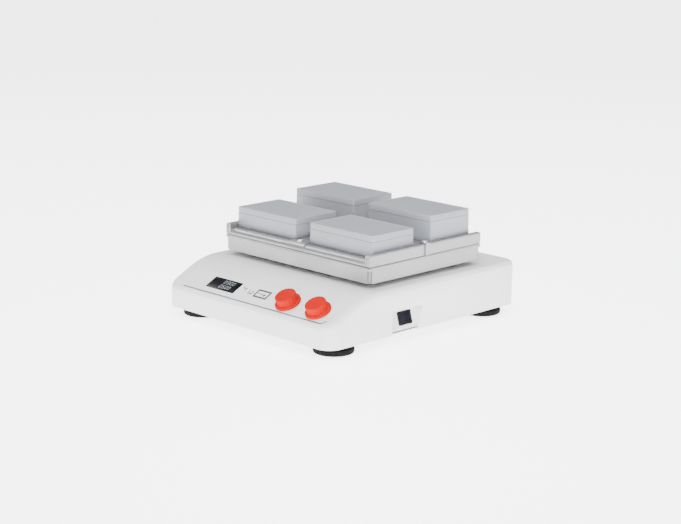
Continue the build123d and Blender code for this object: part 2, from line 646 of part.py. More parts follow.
magnet_inner = STATOR_DIAMETER / 2 + AIR_GAP
magnet_outer = magnet_inner + MAGNET_THICKNESS
rotor_outer = magnet_outer + ROTOR_WALL
with BuildPart() as motor_rotor:
    with Locations((DRIVE_X, DRIVE_Y, rotor_low)):
        Cylinder(rotor_outer, stator_low + STATOR_HEIGHT - rotor_low, align=UPRIGHT)
    with Locations((DRIVE_X, DRIVE_Y, rotor_inside)):
        Cylinder(magnet_outer, STATOR_HEIGHT * 2, align=UPRIGHT, mode=Mode.SUBTRACT)
        Cylinder(ROTOR_HUB_DIAMETER / 2, ROTOR_HUB_HEIGHT, align=UPRIGHT)
    with Locations((DRIVE_X, DRIVE_Y, rotor_low)):
        Cylinder(SHAFT_DIAMETER / 2 + SEAT_GAP, STATOR_HEIGHT, align=UPRIGHT, mode=Mode.SUBTRACT)
        with PolarLocations((rotor_outer + ROTOR_HUB_DIAMETER / 2) / 2, ROTOR_WINDOWS):
            Cylinder(ROTOR_WINDOW_DIAMETER / 2, ROTOR_WALL, align=UPRIGHT, mode=Mode.SUBTRACT)
motor_rotor.part.label = "motor_rotor"
export_step(motor_rotor.part, "parts/motor_rotor.step")

with BuildPart() as rotor_magnets:
    with BuildSketch(Plane.XY.offset(stator_low)):
        with Locations((DRIVE_X, DRIVE_Y)):
            Circle(magnet_outer - SEAT_GAP)
            Circle(magnet_inner, mode=Mode.SUBTRACT)
            with PolarLocations(magnet_outer, MAGNET_COUNT):
                Rectangle(3 * MAGNET_THICKNESS, MAGNET_SPACING, mode=Mode.SUBTRACT)
    extrude(amount=STATOR_HEIGHT - SLIP_GAP)
rotor_magnets.part.label = "rotor_magnets"
export_step(rotor_magnets.part, "parts/rotor_magnets.step")

# Drive shaft: journal, collar and the eccentric pin that drives the platform
collar_low = main_housing_top + BEARING_SPACER
collar_top = collar_low + SHAFT_COLLAR_THICKNESS
hub_bearing_top = pan_underside - HUB_FLANGE_THICKNESS
with BuildPart() as drive_shaft:
    with Locations((DRIVE_X, DRIVE_Y, rotor_low)):
        Cylinder(SHAFT_DIAMETER / 2, collar_low - rotor_low, align=UPRIGHT)
    with Locations((DRIVE_X, DRIVE_Y, collar_low)):
        Cylinder(SHAFT_COLLAR_DIAMETER / 2, SHAFT_COLLAR_THICKNESS, align=UPRIGHT)
    with Locations((platform_x, platform_y, collar_top)):
        Cylinder(SHAFT_DIAMETER / 2, hub_bearing_top - BEARING_SPACER - collar_top, align=UPRIGHT)
    chamfer(drive_shaft.faces().sort_by(Axis.Z)[-1].edges(), length=PIN_CHAMFER)
drive_shaft.part.label = "drive_shaft"
export_step(drive_shaft.part, "parts/drive_shaft.step")

# Counterweight: a steel sector clamped on the collar, opposite the eccentric pin
with BuildPart() as counterweight:
    with BuildSketch(Plane.XY.offset(collar_low + SLIP_GAP)):
        with Locations((DRIVE_X, DRIVE_Y)):
            Circle(COUNTERWEIGHT_RADIUS)
            Rectangle(
                COUNTERWEIGHT_RADIUS, 2 * COUNTERWEIGHT_RADIUS,
                align=(Align.MIN, Align.CENTER), mode=Mode.SUBTRACT,
            )
            Circle(COUNTERWEIGHT_HUB_DIAMETER / 2)
            Circle(SHAFT_COLLAR_DIAMETER / 2 + SEAT_GAP, mode=Mode.SUBTRACT)
    extrude(amount=COUNTERWEIGHT_THICKNESS)
counterweight.part.label = "counterweight"
export_step(counterweight.part, "parts/counterweight.step")

# Idler cranks: lower journal, web and an upper pin with the same eccentricity as the drive shaft
web_low = idler_housing_top + BEARING_SPACER
web_top = web_low + IDLER_WEB_THICKNESS
cup_bearing_top = pan_underside - CUP_FLANGE_THICKNESS
for corner_name, (idler_x, idler_y) in zip(corner_names, idler_centres):
    with BuildPart() as idler_crank:
        with Locations((idler_x, idler_y, CHASSIS_TOP)):
            Cylinder(IDLER_PIN_DIAMETER / 2, web_low - CHASSIS_TOP, align=UPRIGHT)
        with Locations((idler_x, idler_y, web_low)):
            Cylinder(IDLER_WEB_DIAMETER / 2, IDLER_WEB_THICKNESS, align=UPRIGHT)
        with Locations((idler_x + ORBIT_RADIUS, idler_y, web_top)):
            Cylinder(IDLER_PIN_DIAMETER / 2, cup_bearing_top - BEARING_SPACER - web_top, align=UPRIGHT)
        chamfer(idler_crank.faces().sort_by(Axis.Z)[-1].edges(), length=PIN_CHAMFER)
    idler_crank.part.label = f"idler_crank_{corner_name}"
    export_step(idler_crank.part, f"parts/idler_crank_{corner_name}.step")

# Splash seals: flanged rubber rings in the holes of the housing top
with BuildPart() as splash_seals:
    for (seal_x, seal_y), bore in seal_places:
        with Locations((seal_x, seal_y, ceiling)):
            Cylinder(bore + SEAL_WALL - SEAT_GAP, HOUSING_WALL, align=UPRIGHT)
        with Locations((seal_x, seal_y, HOUSING_TOP)):
            Cylinder(bore + SEAL_WALL + SEAL_LIP, SEAL_LIP_HEIGHT, align=UPRIGHT)
        with Locations((seal_x, seal_y, ceiling)):
            Cylinder(bore, HOUSING_WALL + SEAL_LIP_HEIGHT, align=UPRIGHT, mode=Mode.SUBTRACT)
splash_seals.part.label = "splash_seals"
export_step(splash_seals.part, "parts/splash_seals.step")

# Platform pan: folded sheet, open below, with relieved corners and a hem turned inwards
with BuildPart() as platform_pan:
    with Locations((platform_x, platform_y, platform_bottom)):
        Box(PLATFORM_WIDTH, PLATFORM_DEPTH, PAN_HEIGHT, align=UPRIGHT)
    fillet(platform_pan.faces().sort_by(Axis.Z)[-1].edges(), radius=PAN_BEND_R)
    with Locations((platform_x, platform_y, platform_bottom + SHEET)):
        Box(
            PLATFORM_WIDTH - 2 * SHEET, PLATFORM_DEPTH - 2 * SHEET, PAN_HEIGHT - 2 * SHEET,
            align=UPRIGHT, mode=Mode.SUBTRACT,
        )
    with Locations((platform_x, platform_y, platform_bottom)):
        Box(
            PLATFORM_WIDTH - 2 * PAN_HEM, PLATFORM_DEPTH - 2 * PAN_HEM, SHEET,
            align=UPRIGHT, mode=Mode.SUBTRACT,
        )
        with GridLocations(PLATFORM_WIDTH, PLATFORM_DEPTH, 2, 2):
            Box(2 * PAN_RELIEF, 2 * PAN_RELIEF, PAN_RELIEF_HEIGHT, align=UPRIGHT, mode=Mode.SUBTRACT)
platform_pan.part.label = "platform_pan"
export_step(platform_pan.part, "parts/platform_pan.step")

# Hub under the pan, with the bearing seats for the eccentric pin
hub_bottom = hub_bearing_top - 2 * MAIN_BEARING_WIDTH - BEARING_SPACER
with BuildPart() as platform_hub:
    with Locations((platform_x, platform_y, pan_underside)):
        Cylinder(HUB_FLANGE_DIAMETER / 2, HUB_FLANGE_THICKNESS, align=HANGING)
    with Locations((platform_x, platform_y, hub_bottom)):
        Cylinder(HUB_TUBE_DIAMETER / 2, hub_bearing_top - hub_bottom, align=UPRIGHT)
        Cylinder(MAIN_BEARING_DIAMETER / 2, hub_bearing_top - hub_bottom, align=UPRIGHT, mode=Mode.SUBTRACT)
platform_hub.part.label = "platform_hub"
export_step(platform_hub.part, "parts/platform_hub.step")

# Bearing cups under the pan, one over each idler crank
cup_bottom = cup_bearing_top - 2 * IDLER_BEARING_WIDTH - BEARING_SPACER
cup_centres = [(idler_x + ORBIT_RADIUS, idler_y) for idler_x, idler_y in idler_centres]
with BuildPart() as bearing_cups:
    with Locations([(cup_x, cup_y, pan_underside) for cup_x, cup_y in cup_centres]):
        Cylinder(IDLER_FLANGE_DIAMETER / 2, CUP_FLANGE_THICKNESS, align=HANGING)
    with Locations([(cup_x, cup_y, cup_bottom) for cup_x, cup_y in cup_centres]):
        Cylinder(IDLER_HOUSING_DIAMETER / 2, cup_bearing_top - cup_bottom, align=UPRIGHT)
        Cylinder(IDLER_BEARING_DIAMETER / 2, cup_bearing_top - cup_bottom, align=UPRIGHT, mode=Mode.SUBTRACT)
bearing_cups.part.label = "bearing_cups"
export_step(bearing_cups.part, "parts/bearing_cups.step")

with BuildPart() as platform_bearings:
    with Locations(
        [(platform_x, platform_y, level) for level in (hub_bottom, hub_bearing_top - MAIN_BEARING_WIDTH)]
    ):
        Cylinder(MAIN_BEARING_DIAMETER / 2 - SEAT_GAP, MAIN_BEARING_WIDTH, align=UPRIGHT)
        Cylinder(SHAFT_DIAMETER / 2 + RUNNING_GAP, MAIN_BEARING_WIDTH, align=UPRIGHT, mode=Mode.SUBTRACT)
    with Locations(
        [
            (cup_x, cup_y, level)
            for cup_x, cup_y in cup_centres
            for level in (cup_bottom, cup_bearing_top - IDLER_BEARING_WIDTH)
        ]
    ):
        Cylinder(IDLER_BEARING_DIAMETER / 2 - SEAT_GAP, IDLER_BEARING_WIDTH, align=UPRIGHT)
        Cylinder(IDLER_PIN_DIAMETER / 2 + RUNNING_GAP, IDLER_BEARING_WIDTH, align=UPRIGHT, mode=Mode.SUBTRACT)
platform_bearings.part.label = "platform_bearings"
export_step(platform_bearings.part, "parts/platform_bearings.step")

# Dome screws: one near each end of the long bar, one on each rail
end_screws = [
    (platform_x, platform_y + end * (PLATFORM_DEPTH / 2 - DOME_SCREW_SETBACK)) for end in (-1, 1)
]
rail_screws = [(platform_x + side * (PLATFORM_WIDTH - RAIL_WIDTH) / 2, platform_y) for side in (-1, 1)]
screw_hole_r = DOME_SCREW_SHANK / 2 + SLIP_GAP

# Deck tray: sheet bent down over the front and back edges of the pan
deck_width = PLATFORM_WIDTH - 2 * (RAIL_WIDTH + SLIP_GAP)
with BuildPart() as deck_tray:
    with BuildSketch(Plane.YZ.offset(platform_x)) as deck_section:
        with Locations((platform_y, pan_top)):
            Rectangle(PLATFORM_DEPTH, DECK_HEIGHT, align=(Align.CENTER, Align.MIN))
        fillet(deck_section.vertices().group_by(Axis.Y)[-1], radius=DECK_BEND_R)
        with BuildSketch(Plane.YZ.offset(platform_x), mode=Mode.SUBTRACT) as deck_hollow:
            with Locations((platform_y, pan_top)):
                Rectangle(PLATFORM_DEPTH - 2 * SHEET, DECK_HEIGHT - SHEET, align=(Align.CENTER, Align.MIN))
            fillet(deck_hollow.vertices().group_by(Axis.Y)[-1], radius=DECK_BEND_R - SHEET)
    extrude(amount=deck_width / 2, both=True)
    with Locations([(screw_x, screw_y, deck_top) for screw_x, screw_y in end_screws]):
        Cylinder(screw_hole_r, 3 * SHEET, mode=Mode.SUBTRACT)
deck_tray.part.label = "deck_tray"
export_step(deck_tray.part, "parts/deck_tray.step")

# Side rails: folded channels along the left and right edges of the pan
for side_name, side in (("left", -1), ("right", 1)):
    rail_x = platform_x + side * (PLATFORM_WIDTH - RAIL_WIDTH) / 2
    with BuildPart() as side_rail:
        with Locations((rail_x, platform_y, pan_top)):
            Box(RAIL_WIDTH, PLATFORM_DEPTH, RAIL_HEIGHT, align=UPRIGHT)
        fillet(side_rail.faces().sort_by(Axis.Z)[-1].edges().filter_by(Axis.Y), radius=SHEET)
        with Locations((rail_x, platform_y, pan_top)):
            Box(RAIL_WIDTH - 2 * SHEET, PLATFORM_DEPTH, RAIL_HEIGHT - SHEET, align=UPRIGHT, mode=Mode.SUBTRACT)
            Cylinder(screw_hole_r, RAIL_HEIGHT, align=UPRIGHT, mode=Mode.SUBTRACT)
    side_rail.part.label = f"side_rail_{side_name}"
    export_step(side_rail.part, f"parts/side_rail_{side_name}.step")

# Dividers between the microplates: a long bar front to back, and a bar across it that hooks over the rails
long_bar_width = PLATE_GAP_X - 2 * DIVIDER_CLEARANCE
cross_bar_width = PLATE_GAP_Y - 2 * DIVIDER_CLEARANCE
plates_reach_y = PLATE_GAP_Y / 2 + PLATE_WIDTH
with BuildPart() as divider_long_bar:
    with BuildSketch(Plane.YZ.offset(platform_x)) as bar_section:
        with Locations((platform_y, deck_top - DIVIDER_TAB_DROP)):
            Rectangle(
                PLATFORM_DEPTH + 2 * DIVIDER_SHEET, DIVIDER_TAB_DROP + DIVIDER_SHEET,
                align=(Align.CENTER, Align.MIN),
            )
        fillet(bar_section.vertices().group_by(Axis.Y)[-1], radius=DECK_BEND_R + DIVIDER_SHEET)
        with BuildSketch(Plane.YZ.offset(platform_x), mode=Mode.SUBTRACT) as bar_hollow:
            with Locations((platform_y, deck_top - DIVIDER_TAB_DROP)):
                Rectangle(PLATFORM_DEPTH, DIVIDER_TAB_DROP, align=(Align.CENTER, Align.MIN))
            fillet(bar_hollow.vertices().group_by(Axis.Y)[-1], radius=DECK_BEND_R - SLIP_GAP)
    extrude(amount=DIVIDER_TAB_WIDTH / 2, both=True)
    with Locations((platform_x, platform_y, deck_top)):
        with Locations((-DIVIDER_TAB_WIDTH / 2, 0, 0), (DIVIDER_TAB_WIDTH / 2, 0, 0)):
            Box(
                DIVIDER_TAB_WIDTH - long_bar_width, 2 * (plates_reach_y + DIVIDER_STEP_GAP), 3 * DIVIDER_SHEET,
                mode=Mode.SUBTRACT,
            )
    with Locations([(screw_x, screw_y, deck_top) for screw_x, screw_y in end_screws]):
        Cylinder(screw_hole_r, 3 * DIVIDER_SHEET, mode=Mode.SUBTRACT)
divider_long_bar.part.label = "divider_long_bar"
export_step(divider_long_bar.part, "parts/divider_long_bar.step")

# The cross bar lies on the long bar, rises inside each rail and hooks over it with a narrow tongue
cross_low = deck_top + DIVIDER_SHEET
rail_inner = PLATFORM_WIDTH / 2 - RAIL_WIDTH
half_sheet = DIVIDER_SHEET / 2
riser_x = rail_inner - FIT_GAP - half_sheet
drop_x = PLATFORM_WIDTH / 2 + SLIP_GAP + half_sheet
with BuildPart() as divider_cross_bar:
    with Locations((platform_x, platform_y, cross_low)):
        Box(2 * riser_x - TONGUE_WIDTH, cross_bar_width, DIVIDER_SHEET, align=UPRIGHT)
        Box(2 * riser_x + DIVIDER_SHEET, TONGUE_WIDTH, DIVIDER_SHEET, align=UPRIGHT)
        with Locations((-riser_x, 0, 0), (riser_x, 0, 0)):
            Box(DIVIDER_SHEET, TONGUE_WIDTH, rail_top + DIVIDER_SHEET - cross_low, align=UPRIGHT)
    with Locations([(platform_x + side * (riser_x + drop_x) / 2, platform_y, rail_top) for side in (-1, 1)]):
        Box(drop_x - riser_x + DIVIDER_SHEET, TONGUE_WIDTH, DIVIDER_SHEET, align=UPRIGHT)
        Cylinder(screw_hole_r, 3 * DIVIDER_SHEET, mode=Mode.SUBTRACT)
    with Locations([(platform_x + side * drop_x, platform_y, rail_top) for side in (-1, 1)]):
        Box(DIVIDER_SHEET, TONGUE_WIDTH, RAIL_HEIGHT, align=HANGING)
divider_cross_bar.part.label = "divider_cross_bar"
export_step(divider_cross_bar.part, "parts/divider_cross_bar.step")

with BuildPart() as divider_screws:
    for places, seat in ((end_screws, deck_top + DIVIDER_SHEET), (rail_screws, rail_top + DIVIDER_SHEET)):
        with Locations([(screw_x, screw_y, seat) for screw_x, screw_y in places]):
            Cylinder(DOME_SCREW_DIAMETER / 2, DOME_SCREW_HEIGHT, align=UPRIGHT)
            Cylinder(DOME_SCREW_SHANK / 2, DIVIDER_SHEET + 2 * SHEET, align=HANGING)
    crowns = divider_screws.edges().filter_by(GeomType.CIRCLE).filter_by(
        lambda e: e.radius > DOME_SCREW_SHANK and e.center().Z > deck_top + DOME_SCREW_HEIGHT
    )
    crowns = crowns.filter_by(lambda e: abs(e.center().Z - rail_top - DIVIDER_SHEET) > SLIP_GAP)
    fillet(crowns, radius=DOME_SCREW_CROWN_R)
divider_screws.part.label = "divider_screws"
export_step(divider_screws.part, "parts/divider_screws.step")

# Microplates with square wells, and a plain lid over each
body_length = PLATE_LENGTH - 2 * PLATE_INSET
body_width = PLATE_WIDTH - 2 * PLATE_INSET
body_corner_r = PLATE_CORNER_R - PLATE_INSET
well_block_length = WELL_COLUMN_COUNT * WELL_PITCH
well_block_width = WELL_ROW_COUNT * WELL_PITCH
lid_length = body_length + 2 * LID_OVERHANG
lid_width = body_width + 2 * LID_OVERHANG
lid_corner_r = body_corner_r + LID_OVERHANG
plate_places = []
for row_name, row, height in (("front", -1, LOW_PLATE_HEIGHT), ("rear", 1, DEEP_PLATE_HEIGHT)):
    for column_name, column in (("left", -1), ("right", 1)):
        place_x = platform_x + column * (PLATE_GAP_X + PLATE_LENGTH) / 2
        place_y = platform_y + row * (PLATE_GAP_Y + PLATE_WIDTH) / 2
        plate_places.append((f"{row_name}_{column_name}", place_x, place_y, height))

for place_name, place_x, place_y, height in plate_places:
    body_height = height - LID_TOP - FIT_GAP
    with BuildPart() as microplate:
        with BuildSketch(Plane.XY.offset(plate_bottom)):
            with Locations((place_x, place_y)):
                RectangleRounded(PLATE_LENGTH, PLATE_WIDTH, PLATE_CORNER_R)
        extrude(amount=PLATE_SKIRT)
        with BuildSketch(Plane.XY.offset(plate_bottom)):
            with Locations((place_x, place_y)):
                RectangleRounded(body_length, body_width, body_corner_r)
        extrude(amount=body_height)
        with BuildSketch(Plane.XY.offset(plate_bottom + body_height)):
            with Locations((place_x, place_y)):
                with GridLocations(WELL_PITCH, WELL_PITCH, WELL_COLUMN_COUNT, WELL_ROW_COUNT):
                    Rectangle(WELL_SIZE, WELL_SIZE)
        extrude(amount=WELL_FLOOR + PLATE_BASE_RECESS - body_height, mode=Mode.SUBTRACT)
        with BuildSketch(Plane.XY.offset(plate_bottom)):
            with Locations((place_x, place_y)):
                Rectangle(body_length - 2 * PLATE_BASE_RIM, body_width - 2 * PLATE_BASE_RIM)
                Rectangle(well_block_length, well_block_width, mode=Mode.SUBTRACT)
        extrude(amount=body_height - PLATE_BASE_RECESS, mode=Mode.SUBTRACT)
        with BuildSketch(Plane.XY.offset(plate_bottom)):
            with Locations((place_x, place_y)):
                Rectangle(well_block_length, well_block_width)
        extrude(amount=PLATE_BASE_RECESS, mode=Mode.SUBTRACT)
    microplate.part.label = f"microplate_{place_name}"
    export_step(microplate.part, f"parts/microplate_{place_name}.step")

    with BuildPart() as lid:
        with BuildSketch(Plane.XY.offset(plate_bottom + height)):
            with Locations((place_x, place_y)):
                RectangleRounded(lid_length, lid_width, lid_corner_r)
        extrude(amount=-LID_HEIGHT)
        fillet(lid.faces().sort_by(Axis.Z)[-1].edges(), radius=LID_WALL / 2)
        with BuildSketch(Plane.XY.offset(plate_bottom + height - LID_TOP)):
            with Locations((place_x, place_y)):
                RectangleRounded(
                    lid_length - 2 * LID_WALL, lid_width - 2 * LID_WALL, lid_corner_r - LID_WALL
                )
        extrude(amount=-LID_HEIGHT, mode=Mode.SUBTRACT)
    lid.part.label = f"lid_{place_name}"
    export_step(lid.part, f"parts/lid_{place_name}.step")

# Console overlay: a thin printed sheet with openings for the window and the encoder nuts
nut_corner_r = ENCODER_NUT_FLATS / sqrt(3)
with BuildPart() as console_overlay:
    with BuildSketch(console):
        with Locations((0, OVERLAY_CENTRE_S)):
            RectangleRounded(OVERLAY_WIDTH, OVERLAY_HEIGHT, OVERLAY_CORNER_R)
        with Locations((WINDOW_X, WINDOW_S)):
            Rectangle(WINDOW_WIDTH + 2 * SLIP_GAP, WINDOW_HEIGHT + 2 * SLIP_GAP, mode=Mode.SUBTRACT)
        with Locations([(knob_x, KNOB_S) for knob_x in KNOB_X]):
            Circle(nut_corner_r + FIT_GAP, mode=Mode.SUBTRACT)
    extrude(amount=OVERLAY_THICKNESS)
console_overlay.part.label = "console_overlay"
export_step(console_overlay.part, "parts/console_overlay.step")

with BuildPart() as display_window:
    with BuildSketch(console):
        with Locations((WINDOW_X, WINDOW_S)):
            Rectangle(WINDOW_WIDTH, WINDOW_HEIGHT)
    extrude(amount=WINDOW_THICKNESS)
display_window.part.label = "display_window"
export_step(display_window.part, "parts/display_window.step")

# Control board under the slope, with the display module in the opening of the shell
with BuildPart() as control_board:
    with BuildSketch(console.offset(-BOARD_DEPTH)):
        with Locations((BOARD_X, KNOB_S)):
            RectangleRounded(BOARD_WIDTH, BOARD_HEIGHT, BOARD_CORNER_R)
    extrude(amount=-BOARD_THICKNESS)
control_board.part.label = "control_board"
export_step(control_board.part, "parts/control_board.step")

module_trim = WINDOW_LEDGE + SLIP_GAP
with BuildPart() as display_module:
    with BuildSketch(console.offset(-BOARD_DEPTH)):
        with Locations((WINDOW_X, WINDOW_S)):
            Rectangle(WINDOW_WIDTH - 2 * module_trim, WINDOW_HEIGHT - 2 * module_trim)
    extrude(amount=BOARD_DEPTH - SLIP_GAP)
display_module.part.label = "display_module"
export_step(display_module.part, "parts/display_module.step")

# Standoffs: four hold the control board under the slope, four carry the power supply
supply_board_low = base_plate_top + SUPPLY_STANDOFF
with BuildPart() as board_standoffs:
    with BuildSketch(console.offset(-BOARD_DEPTH)):
        with Locations((BOARD_X, KNOB_S)):
            with GridLocations(BOARD_WIDTH - 2 * STANDOFF_INSET, BOARD_HEIGHT - 2 * STANDOFF_INSET, 2, 2):
                Circle(STANDOFF_DIAMETER / 2)
    extrude(amount=BOARD_DEPTH - HOUSING_WALL)
    with BuildSketch(Plane.XY.offset(base_plate_top)):
        with Locations((SUPPLY_X, SUPPLY_Y)):
            with GridLocations(SUPPLY_WIDTH - 2 * STANDOFF_INSET, SUPPLY_DEPTH - 2 * STANDOFF_INSET, 2, 2):
                Circle(STANDOFF_DIAMETER / 2)
    extrude(amount=SUPPLY_STANDOFF)
board_standoffs.part.label = "board_standoffs"
export_step(board_standoffs.part, "parts/board_standoffs.step")

# Power supply: board, transformer, capacitor and heat sink soldered together
with BuildPart() as power_supply:
    with Locations((SUPPLY_X, SUPPLY_Y, supply_board_low)):
        Box(SUPPLY_WIDTH, SUPPLY_DEPTH, BOARD_THICKNESS, align=UPRIGHT)
    with Locations((SUPPLY_X, SUPPLY_Y, supply_board_low + BOARD_THICKNESS)):
        Box(TRANSFORMER_WIDTH, TRANSFORMER_DEPTH, TRANSFORMER_HEIGHT, align=UPRIGHT)
        with Locations((CAPACITOR_X, 0, 0)):
            Cylinder(CAPACITOR_DIAMETER / 2, CAPACITOR_HEIGHT, align=UPRIGHT)
        with Locations((HEAT_SINK_X, 0, 0)):
            Box(HEAT_SINK_WIDTH, HEAT_SINK_THICKNESS, HEAT_SINK_HEIGHT, align=UPRIGHT)
power_supply.part.label = "power_supply"
export_step(power_supply.part, "parts/power_supply.step")

# Push encoders: body on the board, threaded bushing through the shell, nut on the outside
plunger_low = -BOARD_DEPTH + PRESS_TRAVEL + SLIP_GAP / 2
plunger_high = plunger_low + PLUNGER_THICKNESS
encoder_top = -HOUSING_WALL - SLIP_GAP
flute_ring_r = (KNOB_GRIP_DIAMETER + KNOB_FLUTE_DIAMETER) / 2 - KNOB_FLUTE_DEPTH
for encoder_name, knob_x in zip(("timer", "speed"), KNOB_X):
    with BuildPart() as encoder:
        with BuildSketch(console.offset(-BOARD_DEPTH)):
            with Locations((knob_x, KNOB_S)):
                Rectangle(ENCODER_SIZE, ENCODER_SIZE)
        extrude(amount=BOARD_DEPTH + encoder_top)
        with BuildSketch(console.offset(encoder_top)):
            with Locations((knob_x, KNOB_S)):
                Circle(BUSHING_DIAMETER / 2)
        extrude(amount=BUSHING_TOP - encoder_top)
        with BuildSketch(console.offset(BUSHING_TOP)):
            with Locations((knob_x, KNOB_S)):
                Circle(SPINDLE_DIAMETER / 2 + RUNNING_GAP)
        extrude(amount=-BUSHING_TOP - BOARD_DEPTH, mode=Mode.SUBTRACT)
        with BuildSketch(console.offset(-BOARD_DEPTH)):
            with Locations((knob_x, KNOB_S)):
                Circle(PLUNGER_DIAMETER / 2 + FIT_GAP)
        extrude(amount=plunger_high + BOARD_DEPTH + SLIP_GAP, mode=Mode.SUBTRACT)
    encoder.part.label = f"{encoder_name}_encoder"
    export_step(encoder.part, f"parts/{encoder_name}_encoder.step")

    with BuildPart() as plunger:
        with BuildSketch(console.offset(plunger_low)):
            with Locations((knob_x, KNOB_S)):
                Circle(PLUNGER_DIAMETER / 2)
        extrude(amount=PLUNGER_THICKNESS)
    plunger.part.label = f"{encoder_name}_plunger"
    export_step(plunger.part, f"parts/{encoder_name}_plunger.step")

    with BuildPart() as spindle:
        with BuildSketch(console.offset(plunger_high + RUNNING_GAP)):
            with Locations((knob_x, KNOB_S)):
                Circle(SPINDLE_DIAMETER / 2)
        extrude(amount=SPINDLE_TOP - plunger_high - RUNNING_GAP)
    spindle.part.label = f"{encoder_name}_spindle"
    export_step(spindle.part, f"parts/{encoder_name}_spindle.step")

    with BuildPart() as knob:
        with BuildSketch(console.offset(KNOB_LIFT)):
            with Locations((knob_x, KNOB_S)):
                Circle(KNOB_DIAMETER / 2)
        extrude(amount=KNOB_SKIRT)
        fillet(knob.faces().sort_by(console_out)[-1].edges(), radius=KNOB_SKIRT_R)
        with BuildSketch(console.offset(KNOB_LIFT + KNOB_SKIRT)):
            with Locations((knob_x, KNOB_S)):
                Circle(KNOB_GRIP_DIAMETER / 2)
                with PolarLocations(flute_ring_r, KNOB_FLUTES):
                    Circle(KNOB_FLUTE_DIAMETER / 2, mode=Mode.SUBTRACT)
        extrude(amount=KNOB_HEIGHT - KNOB_SKIRT)
        fillet(knob.faces().sort_by(console_out)[-1].edges(), radius=KNOB_GRIP_R)
        with BuildSketch(console.offset(KNOB_LIFT)):
            with Locations((knob_x, KNOB_S)):
                Circle(KNOB_POCKET_DIAMETER / 2)
        extrude(amount=KNOB_POCKET_DEPTH, mode=Mode.SUBTRACT)
        with BuildSketch(console.offset(KNOB_LIFT)):
            with Locations((knob_x, KNOB_S)):
                Circle(SPINDLE_DIAMETER / 2 + SEAT_GAP)
        extrude(amount=SPINDLE_TOP + SLIP_GAP - KNOB_LIFT, mode=Mode.SUBTRACT)
    knob.part.label = f"{encoder_name}_knob"
    export_step(knob.part, f"parts/{encoder_name}_knob.step")

with BuildPart() as encoder_nuts:
    with BuildSketch(console):
        with Locations([(knob_x, KNOB_S) for knob_x in KNOB_X]):
            RegularPolygon(nut_corner_r, 6)
            Circle(BUSHING_DIAMETER / 2 + SEAT_GAP, mode=Mode.SUBTRACT)
    extrude(amount=ENCODER_NUT_THICKNESS)
encoder_nuts.part.label = "encoder_nuts"
export_step(encoder_nuts.part, "parts/encoder_nuts.step")

# Power switch: bezel and body in the leaning wall, and the rocker on its two stub pivots
switch_body_width = SWITCH_WIDTH - 2 * SWITCH_RIM - 2 * SLIP_GAP
switch_body_height = SWITCH_HEIGHT - 2 * SWITCH_RIM - 2 * SLIP_GAP
switch_cavity_width = switch_body_width - 2 * SWITCH_BODY_WALL
switch_cavity_height = switch_body_height - 2 * SWITCH_BODY_WALL
rocker_pivot_depth = ROCKER_PIVOT_DIAMETER / 2 + ROCKER_PIVOT_COVER
rocker_half = switch_cavity_width / 2 - ROCKER_END_GAP
rocker_width = switch_cavity_height - 2 * ROCKER_SIDE_GAP
pivot_origin = switch_plane.from_local_coords(Vector(0, 0, -rocker_pivot_depth))
rocker_axis = Axis(pivot_origin, switch_plane.y_dir)
rocker_plane = Plane(origin=pivot_origin, x_dir=switch_plane.x_dir, z_dir=-switch_plane.y_dir)
with BuildPart() as switch_housing:
    with BuildSketch(switch_plane):
        RectangleRounded(SWITCH_WIDTH, SWITCH_HEIGHT, BEZEL_THICKNESS)
    extrude(amount=BEZEL_THICKNESS)
    with BuildSketch(switch_plane):
        Rectangle(switch_body_width, switch_body_height)
    extrude(amount=-SWITCH_BODY_DEPTH)
    with BuildSketch(switch_plane.offset(BEZEL_THICKNESS)):
        Rectangle(switch_cavity_width, switch_cavity_height)
    extrude(amount=SWITCH_BODY_WALL - SWITCH_BODY_DEPTH, mode=Mode.SUBTRACT)
    with BuildSketch(rocker_plane):
        Circle(ROCKER_PIVOT_DIAMETER / 2 + RUNNING_GAP)
    extrude(amount=SWITCH_HEIGHT, both=True, mode=Mode.SUBTRACT)
switch_housing.part.label = "switch_housing"
export_step(switch_housing.part, "parts/switch_housing.step")

rocker_edge = rocker_pivot_depth + BEZEL_THICKNESS
with BuildPart() as switch_rocker:
    with BuildSketch(rocker_plane):
        with BuildLine():
            Polyline(
                (-rocker_half, 0),
                (-rocker_half, rocker_edge + ROCKER_RISE / 2),
                (0, rocker_edge),
                (rocker_half, rocker_edge + ROCKER_RISE / 2),
                (rocker_half, 0),
                (0, -ROCKER_DEPTH),
                close=True,
            )
        make_face()
    extrude(amount=rocker_width / 2, both=True)
    with BuildSketch(rocker_plane):
        Circle(ROCKER_PIVOT_DIAMETER / 2)
    extrude(amount=switch_cavity_height / 2 + ROCKER_PIVOT_LENGTH, both=True)
switch_rocker.part = switch_rocker.part.rotate(rocker_axis, -ROCKER_TILT)
switch_rocker.part.label = "switch_rocker"
export_step(switch_rocker.part, "parts/switch_rocker.step")

